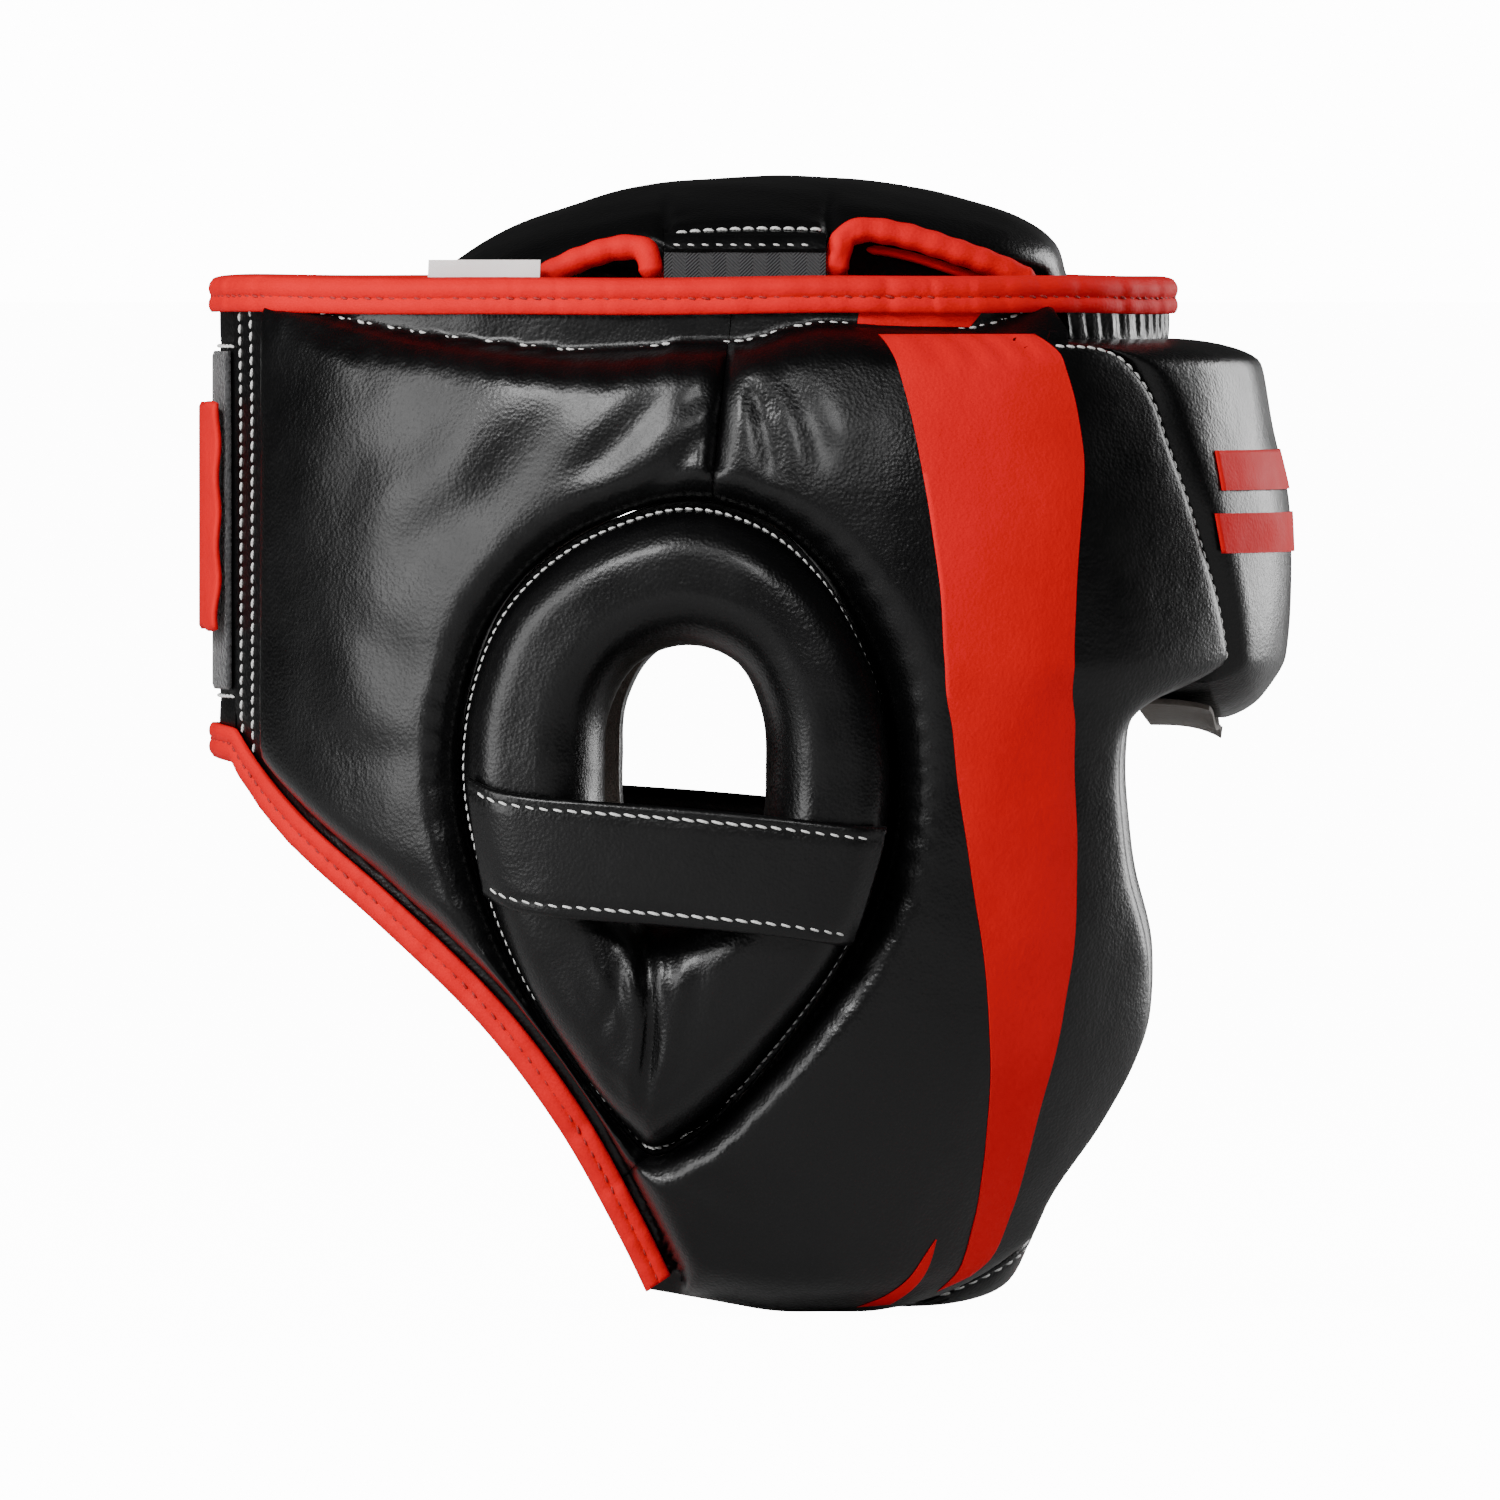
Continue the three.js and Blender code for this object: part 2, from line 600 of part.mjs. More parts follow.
// A sheet over the rear panel: its vertical lines as [s, height of its under face], centred at height z.
function rearSheet(lines, z, width, thickness) {
  const under = lines.map(([s, t]) => [-0.5, 0, 0.5].map((f) => ({ s, z: z + f * width, t })));
  return gridSolid(inSpace(lowered(under, -thickness), 1), inSpace(under, 1));
}
const loopMid = 188.5 * kz;
const strapMid = 189.5 * kz;
const loopT = rearPanelThickness + clearance;
const hookT = loopT + loopFieldThickness + clearance;
const strapT = hookT + hookThickness + clearance;
const rearLine = (i) => rearPanelGrid[i][1].s;
const [rightEdge, leftEdge] = [rearLine(0), rearLine(rearCells)];
// The strap comes off the left wing's border, where it is sewn, folds, and lies over the loop field.
const foldS = leftEdge - 1.5;
const rearRootLines = [[foldS - 9, loopT], [foldS - clearance, loopT]];
const rearStrapLines = [
  [foldS, loopT + 0.2], [leftEdge + 3, strapT], [rearLine(3), strapT], [rearLine(2), strapT],
  [rearLine(1), strapT], [rightEdge - 2, strapT],
];
const hookLines = [[rearLine(2), hookT], [rearLine(1), hookT], [rightEdge - 5, hookT]];
const loopLines = [
  [leftEdge + 7, loopT], [rearLine(3), loopT], [rearLine(2), loopT], [rearLine(1), loopT],
  [rightEdge - 1.5, loopT],
];

// ---------------------------------------------------------------- bindings
// Section of a binding folded over an edge: across the edge (a, outwards positive) and through it (t).
function bindingSection(openT) {
  const out = bindingWall;
  const slotLow = -bindingClearance;
  const slotHigh = openT + bindingClearance;
  const low = slotLow - bindingWall;
  const high = slotHigh + bindingWall;
  const depth = -(bindingWidth - bindingWall);
  return [
    [out, low + 1.6], [out, high - 1.6], [0.2, high], [depth, high], [depth, slotHigh],
    [0.3, slotHigh], [0.3, slotLow], [depth, slotLow], [depth, low], [0.2, low],
  ];
}

// Carries the binding's section along chart nodes; the outward direction is square to the path.
function binding(path, loop, outward, openT) {
  const section = bindingSection(openT);
  const sections = path.map((n, i) => {
    const before = path[i - 1] ?? (loop ? path[path.length - 1] : n);
    const after = path[i + 1] ?? (loop ? path[0] : n);
    const dir = outward(before, after, n);
    return section.map(([a, t]) => place({ s: n.s + dir[0] * a, z: n.z + dir[1] * a, t }, 1));
  });
  return sweptSolid(sections, loop);
}

// Rim: right wing and cheek, forehead band, then the left side and the rear panel.
const rightRim = [
  ...edges.slice(edgeStart.rimRear),
  ...edges.slice(0, edgeStart.bandSeam + 1),
];
const bandTop = bandGrid.slice(1, -1).map((line) => line[1]);
const leftRim = rightRim.map((n) => mirrored(n)).reverse();
const rearTop = rearPanelGrid.slice(1, -1).map((line) => line[line.length - 1]);
const fullTurn = 2 * (frontCentre - rearCentre);
const rimPath = [
  ...rightRim,
  ...bandTop,
  ...leftRim,
  ...rearTop.map((n) => ({ ...n, s: n.s + fullTurn })).reverse(),
];

// Neck edge: up the right side, across the rear panel and down the left.
const neckRight = edges.slice(edgeStart.neck, edgeStart.rear + 1);
const neckRear = rearPanelGrid.slice(1, -1).map((line) => line[0]);
const neckPath = [...neckRight, ...neckRear, ...neckRight.map(rearMirror).reverse()];
const squareTo = (before, after) => {
  const length = flatDistance(before, after);
  return [-(after.z - before.z) / length, (after.s - before.s) / length];
};

// ---------------------------------------------------------------- ear strap
// A band over the ear ring, from seam to seam: x and height of its top edge, x of its bottom edge. It spans
// the ear hole.
const strapLine = [
  [-61, 128, -57], [-55, 126, -52], [-46, 124, -44], [-33, 123, -33], [-13, 121.5, -13], [8, 119.5, 8],
  [20, 118, 18], [28, 117, 23.5], [35, 116.5, 27.5],
];
function earStrapGrid() {
  return strapLine.map(([topX, topZ, bottomX]) =>
    [1, 0.5, 0].map((f) => {
      const n = node(topX + (bottomX - topX) * f, topZ - earStrapWidth * f);
      const angle = Math.atan2(n.z - earCentre.z, n.s - earCentre.s);
      const [hole, seam] = [holeRadius(angle), ringRadius(angle)];
      const over = Math.max((flatDistance(n, earCentre) - hole) / (seam - hole), 0.42);
      return { ...n, t: ringHeight(n, Math.min(over, 1)) + strapStandOff + earStrapThickness };
    }),
  );
}

// ---------------------------------------------------------------- crown
// The crown pad's centre line from front to back: x, height above the rim, and the pad's half-width there.
const crownLine = [
  [94, -38, 13], [92, -27, 17], [86, -16, 22], [79.5, -6.5, 27], [77, 0.3, 30], [74.6, 7.5, 34],
  [66, 13.9, 42], [48, 19.7, 49], [28, 23.1, 52.6], [23, 23.4, 53], [20.5, 23.5, 60], [1, 23.8, 61],
  [-18, 22.6, 60], [-20.5, 22, 53], [-39, 17.8, 53], [-58, 10.7, 52], [-70, 3.4, 48], [-82, -5, 41],
  [-94, -13.5, 33], [-105, -23, 25], [-113, -33, 18], [-117.5, -45, 13],
];
const sideArm = [10, 12]; // first and last station of the arms that reach out to the elastic
const frontBinding = [6, 9]; // stations along which the pad's front cut-outs are bound
const rearBinding = [13, 16];
const domeFall = 11.8 / 58 ** 2; // sideways fall of the dome, per mm squared
const crownPath = crownLine.map(([x, up, half], i) => {
  const before = crownLine[Math.max(i - 1, 0)];
  const after = crownLine[Math.min(i + 1, crownLine.length - 1)];
  const rise = crownRise / 23.4;
  const along = new THREE.Vector2((after[0] - before[0]) * kx, (after[1] - before[1]) * rise);
  along.normalize();
  return { x: x * kx, z: rimHeight + up * rise, nx: along.y, nz: -along.x, half: half * ky };
});
const crownAcross = [-1, -0.88, -0.48, 0, 0.48, 0.88, 1];
const crownEnd = crownPath.length - 1;

// A point of the dome at station i, y across from the centre line and h below the pad's top.
function crownPoint(i, y, h) {
  const c = crownPath[i];
  return new THREE.Vector3(c.x - c.nx * h, y, c.z - (domeFall * y * y) / ky - c.nz * h);
}
function crownGrid(depth) {
  return crownPath.map((c, i) => crownAcross.map((f, j) => crownPoint(i, f * c.half, depth(i, j))));
}
// How far the pad's top is pulled down at its sewn edges.
function crownDip(i, j) {
  const atEdge = j === 0 || j === crownAcross.length - 1 || i === 0 || i === crownEnd;
  return atEdge ? 3.4 : 0;
}
// A grid of points drawn in at its outer lines.
function insetPoints(grid, gap) {
  const step = (a, b) => a.clone().lerp(b, Math.min(gap / a.distanceTo(b), 0.45));
  const lines = grid.map((line) => {
    const n = line.length - 1;
    return line.map((p, j) => (j === 0 ? step(p, line[1]) : j === n ? step(p, line[n - 1]) : p));
  });
  const n = lines.length - 1;
  return lines.map((line, i) => {
    if (i > 0 && i < n) return line;
    return line.map((p, j) => step(p, lines[i === 0 ? 1 : n - 1][j]));
  });
}
const crownUnder = crownThickness - liningWall;
const crownCeiling = crownGrid((i, j) => crownDip(i, j) + skin);
const crownPocket = (grid) => insetPoints(grid.slice(1, -1).map((line) => line.slice(1, -1)), foamInset);
function crownCover() {
  const base = crownGrid(() => crownUnder - clearance);
  return gridSolid(crownGrid(crownDip), base, { ceiling: crownCeiling });
}
function crownFoam() {
  const top = crownGrid((i, j) => crownDip(i, j) + skin + clearance);
  const base = crownGrid(() => crownUnder - 1.4 * clearance);
  return gridSolid(crownPocket(top), crownPocket(base));
}
function crownLining() {
  return gridSolid(crownGrid(() => crownUnder), crownGrid(() => crownThickness));
}

// A round section about each point of a path, square to the path.
function cord(path, radius, sides = 6) {
  const sections = path.map((p, i) => {
    const ahead = (path[i + 1] ?? p).clone().sub(path[i - 1] ?? p).normalize();
    const u = new THREE.Vector3().crossVectors(ahead, new THREE.Vector3(0, 0, 1)).normalize();
    const v = new THREE.Vector3().crossVectors(ahead, u);
    return Array.from({ length: sides }, (_, k) => {
      const a = (2 * Math.PI * k) / sides;
      return p.clone().addScaledVector(u, radius * Math.cos(a)).addScaledVector(v, radius * Math.sin(a));
    });
  });
  return sweptSolid(sections);
}
// The binding of a cut-out follows the pad's side edge between two stations.
function crownCord([from, to], side) {
  const middle = (3.4 + crownThickness) / 2;
  const path = [];
  for (let i = from; i <= to; i++) {
    const edge = crownPath[i].half;
    const p = crownPoint(i, edge, middle);
    path.push(new THREE.Vector3(p.x, side * (edge + cordRadius + clearance + 0.4), p.z));
  }
  // It stops short of the side arm.
  const [last, inner] = from === rearBinding[0] ? [0, 1] : [path.length - 1, path.length - 2];
  path[last].lerp(path[inner], 0.2);
  return cord(path, cordRadius);
}

// A sheet of the given thickness whose outer face passes through lines of points.
function sheet(lines, thickness, side = 1) {
  const normals = lines.map((line, i) =>
    line.map((p, j) => {
      const along = (lines[i + 1] ?? lines[i])[j].clone().sub((lines[i - 1] ?? lines[i])[j]);
      const across = (line[j + 1] ?? p).clone().sub(line[j - 1] ?? p);
      return along.cross(across).normalize();
    }),
  );
  const flip = (v) => new THREE.Vector3(v.x, v.y * side, v.z);
  const outer = lines.map((line) => line.map(flip));
  const inner = lines.map((line, i) =>
    line.map((p, j) => flip(p.clone().addScaledVector(normals[i][j], -thickness))),
  );
  return gridSolid(outer, inner);
}

// Elastic from the side arm's edge down inside the rim, and the leather tab sewn over its upper end.
const armFront = crownPath[sideArm[0]].x;
const armRear = crownPath[sideArm[1]].x;
const armEdge = crownPath[sideArm[0] + 1].half;
const hang = (x, list) => list.map(([out, up]) => new THREE.Vector3(x, armEdge + out * ky, rimHeight + up));
const elasticDrop = [[2.2, 5.6], [5.2, 1.6], [8.3, -4.6], [8.7, -15]];
const tabDrop = [[0.9, 10.9], [4.3, 7.4], [6.4, 4.4]];
const armLines = (list) => [armRear, (armRear + armFront) / 2, armFront].map((x) => hang(x, list));

// ---------------------------------------------------------------- chin strap
// One half of the outer layer's lower face, from the jaw to the middle; four points across, rear to front.
const chinRows = [
  [[28, 43.6, 1.1], [34.5, 40, 1], [41, 35.3, 1.3], [47, 30.3, 3.4]],
  [[32, 32, 0.8], [40.5, 30, 0.7], [49.5, 27.5, 2.4], [57.5, 24.5, 8]],
  [[37.5, 17, 0.8], [47, 16.5, 0.6], [59, 15.5, 4.2], [67.5, 14.5, 14.5]],
  [[40.5, 0, 0.8], [50, 0, 0.6], [62.5, 0, 5.2], [69.9, 0, 19]],
];
const chinPoint = ([x, y, z], flip) => new THREE.Vector3(x * kx, y * ky * flip, z * kz);
const chinSurface = [
  ...chinRows.map((row) => row.map((p) => chinPoint(p, -1))),
  ...chinRows.slice(0, -1).reverse().map((row) => row.map((p) => chinPoint(p, 1))),
];
const chinNormals = chinSurface.map((row, i) =>
  row.map((p, j) => {
    // The end rows slant into the outer edge, so their direction is taken a column in.
    const k = chinSurface[i + 1] && chinSurface[i - 1] ? j : 1;
    const along = (chinSurface[i + 1] ?? row)[k].clone().sub((chinSurface[i - 1] ?? row)[k]);
    const across = (row[j + 1] ?? p).clone().sub(row[j - 1] ?? p);
    return across.cross(along).normalize();
  }),
);
// The stretch of that surface between two rows, raised inwards by a depth.
function chinLayer(from, to, depth, thickness, inset = 0) {
  const face = (height) => {
    const raised = chinSurface.map((row, i) =>
      row.map((p, j) => p.clone().addScaledVector(chinNormals[i][j], height)),
    );
    const between = (u) =>
      raised[Math.floor(u)].map((p, j) => p.clone().lerp(raised[Math.ceil(u)][j], u % 1));
    const rows = [];
    if (from % 1) rows.push(between(from));
    for (let u = Math.ceil(from); u <= Math.floor(to); u++) rows.push(raised[u]);
    if (to % 1) rows.push(between(to));
    return inset ? insetPoints(rows, inset) : rows;
  };
  return gridSolid(face(depth), face(depth + thickness));
}

// ---------------------------------------------------------------- small sheets on the lining
// A patch on the lining's inner face between two heights; depths are measured inwards from that face.
function liningPatch(xs, [lowZ, highZ], depth, thickness, side) {
  const grid = xs.map((x) => [lowZ, highZ].map((z) => ({ s: node(x, z).s, z: z * kz, t: -depth })));
  return gridSolid(inSpace(grid, side), inSpace(lowered(grid, thickness), side));
}

// ---------------------------------------------------------------- meshes
const leather = { color: 0x16171a, roughness: 0.42, metalness: 0 };
const finishes = {
  blackLeather: leather,
  redLeather: { color: 0xc8201c, roughness: 0.45, metalness: 0 },
  foam: { color: 0xd8cfae, roughness: 0.95, metalness: 0 },
  lining: { color: 0x3a3936, roughness: 0.9, metalness: 0 },
  webbing: { color: 0x1b1c1e, roughness: 0.85, metalness: 0 },
  hookLoop: { color: 0x111214, roughness: 0.95, metalness: 0 },
  label: { color: 0xf2f2ee, roughness: 0.7, metalness: 0 },
};
const headgear = new THREE.Group();
function add(name, geometry, finish) {
  const mesh = new THREE.Mesh(geometry, new THREE.MeshStandardMaterial(finishes[finish]));
  mesh.name = name;
  headgear.add(mesh);
}

const cheek = paddedLayers(cheekGrid);
const wing = paddedLayers(wingGrid, { corners: [edgeStart.rimRear - tipLine] });
const earRing = paddedLayers(ringGrid, { ring: true });
const strapGridEar = earStrapGrid();
for (const [side, word] of [[1, "right"], [-1, "left"]]) {
  add(`cheek_cover_${word}`, cheek.cover(side), "blackLeather");
  add(`cheek_foam_${word}`, cheek.foam(side), "foam");
  add(`cheek_lining_${word}`, cheek.lining(side), "lining");
  add(`wing_cover_${word}`, wing.cover(side), "blackLeather");
  add(`wing_foam_${word}`, wing.foam(side), "foam");
  add(`wing_lining_${word}`, wing.lining(side), "lining");
  add(`ear_ring_cover_${word}`, earRing.cover(side), "blackLeather");
  add(`ear_ring_foam_${word}`, earRing.foam(side), "foam");
  add(`ear_ring_lining_${word}`, earRing.lining(side), "lining");
  const under = lowered(strapGridEar, earStrapThickness);
  add(`ear_strap_${word}`, gridSolid(inSpace(strapGridEar, side), inSpace(under, side)), "blackLeather");
}
const forehead = paddedLayers(foreheadGrid);
add("forehead_cover", forehead.cover(1), "blackLeather");
add("forehead_foam", forehead.foam(1), "foam");
add("forehead_lining", forehead.lining(1), "lining");
const band = drawnIn(bandGrid, 2 * seamGap);
add("forehead_band", gridSolid(inSpace(band, 1), inSpace(withT(band, 0), 1)), "blackLeather");

const rearPanel = drawnIn(rearPanelGrid, seamGap);
add("rear_panel", gridSolid(inSpace(rearPanel, 1), inSpace(withT(rearPanel, 0), 1)), "blackLeather");
add("rear_loop_field", rearSheet(loopLines, loopMid, loopFieldHeight, loopFieldThickness), "hookLoop");
add("rear_strap_root", rearSheet(rearRootLines, strapMid, rearStrapWidth, rearStrapThickness), "redLeather");
add("rear_strap", rearSheet(rearStrapLines, strapMid, rearStrapWidth, rearStrapThickness), "redLeather");
add("rear_hook_patch", rearSheet(hookLines, strapMid, rearStrapWidth - 8, hookThickness), "hookLoop");

add("rim_binding", binding(rimPath, true, () => [0, 1], borderThickness), "redLeather");
add("neck_binding", binding(neckPath, false, squareTo, borderThickness), "redLeather");

add("crown_cover", crownCover(), "blackLeather");
add("crown_foam", crownFoam(), "foam");
add("crown_lining", crownLining(), "lining");
for (const [side, word] of [[1, "left"], [-1, "right"]]) {
  add(`crown_front_piping_${word}`, crownCord(frontBinding, side), "redLeather");
  add(`crown_rear_piping_${word}`, crownCord(rearBinding, side), "redLeather");
  add(`crown_tab_${word}`, sheet(armLines(tabDrop), tabThickness, side), "blackLeather");
  add(`crown_elastic_${word}`, sheet(armLines(elasticDrop), elasticThickness, side), "webbing");
}

// Two halves meet under the chin: the left one is inside, and the right one folds down at the jaw.
const chinHookDepth = chinStrapThickness + 2 * clearance;
const chinLoopDepth = chinHookDepth + hookThickness + 2 * clearance;
const chinInnerDepth = chinLoopDepth + chinLoopThickness + 2 * clearance;
add("chin_strap_right", chinLayer(0, 4.2, 0, chinStrapThickness), "blackLeather");
add("chin_hook_patch", chinLayer(2.5, 4.1, chinHookDepth, hookThickness, 2), "hookLoop");
add("chin_loop_patch", chinLayer(2.4, 4.2, chinLoopDepth, chinLoopThickness, 1.2), "hookLoop");
add("chin_strap_left", chinLayer(2.3, 6, chinInnerDepth, chinStrapThickness), "blackLeather");
const anchorX = [29, 35, 41, 46];
const anchorDepth = 2.2; // clear of the lining between its own lines
add("chin_anchor_right", liningPatch(anchorX, [4.4, 17], anchorDepth, chinStrapThickness, 1), "blackLeather");
add("chin_anchor_left", liningPatch(anchorX, [9.4, 21], anchorDepth, chinStrapThickness, -1), "blackLeather");

// Suede facing that closes the forehead pad's underside.
const facing = foreheadGrid.slice(1, -1).map((line) => {
  const n = { ...line[0], z: line[0].z - 0.5 };
  const deepest = thicknessAt(n) - 10;
  return [2, deepest / 2, deepest].map((t) => ({ ...n, t }));
});
const facingUnder = mapGrid(facing, (n) => ({ ...n, z: n.z - liningWall }));
add("brow_facing", gridSolid(inSpace(facing, 1), inSpace(facingUnder, 1)), "lining");
// A blank label stands at the rim's inside.
add("size_label", liningPatch([-80, -66, -51], [236, 251], 4.2, 0.5, 1), "label");

export default headgear;
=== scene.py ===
"""Boxing headgear: padded leather panels round a head form, with bindings, straps and stitching.

Lengths are in millimetres until a mesh is made. +X is the forehead, -Y the wearer's right and +Z up. A
panel is drawn on a chart: s runs round the head from the ear towards the forehead, z is the height, and t
is the height of a surface above the inner face of the lining.
"""

import logging
import math
from dataclasses import dataclass, field
from enum import Enum
from typing import Sequence

import bpy
import numpy as np
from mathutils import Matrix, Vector
from numpy.typing import NDArray

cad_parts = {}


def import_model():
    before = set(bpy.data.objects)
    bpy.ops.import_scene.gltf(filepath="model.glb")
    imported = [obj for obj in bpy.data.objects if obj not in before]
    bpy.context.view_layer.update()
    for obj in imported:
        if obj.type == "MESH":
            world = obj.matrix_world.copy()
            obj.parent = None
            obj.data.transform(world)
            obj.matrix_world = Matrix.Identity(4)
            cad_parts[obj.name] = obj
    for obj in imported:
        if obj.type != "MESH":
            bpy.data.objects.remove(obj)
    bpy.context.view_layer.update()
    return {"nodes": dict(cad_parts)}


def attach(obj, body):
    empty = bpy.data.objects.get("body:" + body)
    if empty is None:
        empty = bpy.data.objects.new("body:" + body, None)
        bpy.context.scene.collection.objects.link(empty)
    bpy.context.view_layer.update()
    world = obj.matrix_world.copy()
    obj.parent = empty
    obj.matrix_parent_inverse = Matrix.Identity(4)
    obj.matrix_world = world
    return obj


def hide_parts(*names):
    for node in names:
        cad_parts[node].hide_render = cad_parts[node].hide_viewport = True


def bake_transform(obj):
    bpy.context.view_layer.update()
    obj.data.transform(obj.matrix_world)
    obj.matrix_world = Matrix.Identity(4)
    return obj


Array = NDArray[np.float64]
Piece = bpy.types.Object
Socket = bpy.types.NodeSocket
log = logging.getLogger("headgear")
MM = 0.001  # metres
SUEDE_TOP = 1.4  # height of the lining's outer face
PAD_BASE = 1.65  # height of a pad's underside
SEAM_TURN = 75.0  # degrees: leather that turns by more is shaded as an edge
FINE_TURN = 80.0  # the same for rolls, prints and thread
RIGHT, LEFT = 1, -1
SIDES = ((RIGHT, "right"), (LEFT, "left"))


# ---------------------------------------------------------------- numbers on arrays
def quarter_round(x: Array) -> Array:
    """Quarter circle: 0 at 0, upright there, and level at 1."""
    return np.sqrt(np.maximum(1 - (1 - np.clip(x, 0, 1)) ** 2, 0))


def smooth_step(x: Array) -> Array:
    """Three x squared less two x cubed, between 0 and 1."""
    u = np.clip(x, 0, 1)
    return u * u * (3 - 2 * u)


def soft_minimum(a: Array, b: Array, width: float) -> Array:
    """The lower of two values, blended over a band where they are within width of each other."""
    h = np.clip(0.5 + 0.5 * (b - a) / width, 0, 1)
    return b * (1 - h) + a * h - width * h * (1 - h)


def bell(x: Array, width: float, power: float = 2.0) -> Array:
    """A bell curve that is 1 where x is 0 and has fallen to 0.37 where x is width."""
    return np.exp(-((x / width) ** power))


def unit(vectors: Array) -> Array:
    """The same vectors at length 1."""
    return vectors / np.maximum(np.linalg.norm(vectors, axis=-1, keepdims=True), 1e-9)


def cubic(u: Array, start: Array, end: Array, slope: Array, end_slope: Array) -> Array:
    """The cubic between two values with given slopes there, for u from 0 to 1."""
    return (start * (2 * u**3 - 3 * u**2 + 1) + end * (3 * u**2 - 2 * u**3)
            + slope * (u**3 - 2 * u**2 + u) + end_slope * (u**3 - u**2))


def smoothed(values: Array, width: int) -> Array:
    """Values averaged with their neighbours under a bell of an odd width; the ends repeat outwards."""
    weights = np.hanning(width)
    return np.convolve(np.pad(values, width // 2, mode="edge"), weights / weights.sum(), "valid")


def crowded(count: int, pull: float = 0.75) -> Array:
    """Values from 0 to 1 that lie closer together near both ends.

    Args:
        count: how many values.
        pull: 0 spaces them evenly, 1 follows a cosine.

    Returns:
        The values, rising.
    """
    u = np.linspace(0, 1, count)
    return (1 - pull) * u + pull * (0.5 - 0.5 * np.cos(np.pi * u))


def soft_noise(x: Array, y: Array, size: float, seed: int) -> Array:
    """Smooth irregular waves between about -1 and 1: the mean of cosines in seeded directions.

    Args:
        x: first coordinate.
        y: second coordinate.
        size: typical distance between crests.
        seed: picks the directions.

    Returns:
        The value at each point.
    """
    rng = np.random.default_rng(seed)
    angle = rng.uniform(0, np.pi, 9)
    pitch = size * rng.uniform(0.6, 1.7, 9)
    phase = rng.uniform(0, 2 * np.pi, 9)
    kx, ky = np.cos(angle) / pitch, np.sin(angle) / pitch
    waves = np.cos(2 * np.pi * (x[..., None] * kx + y[..., None] * ky) + phase)
    return waves.sum(-1) / 4


def spline(points: Sequence[Sequence[float]] | Array, count: int) -> Array:
    """Smooth open curve through points, sampled evenly along its length.

    Each span is a cubic whose end slopes are those of the parabola through a point and its neighbours,
    over knots spaced by the square root of the distance between points.

    Args:
        points: the points it passes through.
        count: how many samples.

    Returns:
        Samples, one row each.
    """
    p = np.asarray(points, float)
    if len(p) > 2:
        h = np.sqrt(np.maximum(np.linalg.norm(np.diff(p, axis=0), axis=1), 1e-6))
        step = np.diff(p, axis=0) / h[:, None]
        inner = (step[:-1] * h[1:, None] + step[1:] * h[:-1, None]) / (h[1:] + h[:-1])[:, None]
        slope = np.vstack([step[:1], inner, step[-1:]])
        u = np.linspace(0, 1, 24, endpoint=False)[None, :, None]
        a, b = p[:-1, None], p[1:, None]
        m, n = slope[:-1, None] * h[:, None, None], slope[1:, None] * h[:, None, None]
        p = np.vstack([cubic(u, a, b, m, n).reshape(-1, p.shape[1]), p[-1:]])
    return evenly(p, count)


def run_along(path: Array) -> Array:
    """Distance along a polyline from its start to each of its points."""
    return np.concatenate([[0], np.cumsum(np.linalg.norm(np.diff(path, axis=0), axis=1))])


def evenly(path: Array, count: int) -> Array:
    """The same polyline sampled at even distances."""
    run = run_along(path)
    at = np.linspace(0, run[-1], count)
    return np.stack([np.interp(at, run, path[:, k]) for k in range(path.shape[1])], 1)


def distance_to(path: Array, s: Array, z: Array) -> tuple[Array, Array]:
    """Distance from chart points to a polyline, and how far along it the nearest point lies.

    Each point is dropped square onto every segment, kept between its ends, and the shortest drop wins.

    Args:
        path: the polyline, one (s, z) row each.
        s: chart coordinates of the points.
        z: their heights.

    Returns:
        Distances and lengths along the polyline.
    """
    shape = s.shape
    q = np.stack([s.ravel(), z.ravel()], 1)
    a, d = path[:-1], np.diff(path, axis=0)
    size = np.maximum((d**2).sum(1), 1e-9)
    run = np.concatenate([[0], np.cumsum(np.sqrt(size))])[:-1]
    near, along = np.empty(len(q)), np.empty(len(q))
    batch = 6000
    for first in range(0, len(q), batch):
        part = q[first:first + batch, None, :] - a[None]
        f = np.clip((part * d).sum(2) / size, 0, 1)
        gap = ((part - f[..., None] * d) ** 2).sum(2)
        best = gap.argmin(1)
        rows = np.arange(len(best))
        near[first:first + batch] = np.sqrt(gap[rows, best])
        along[first:first + batch] = run[best] + f[rows, best] * np.sqrt(size[best])
    return near.reshape(shape), along.reshape(shape)


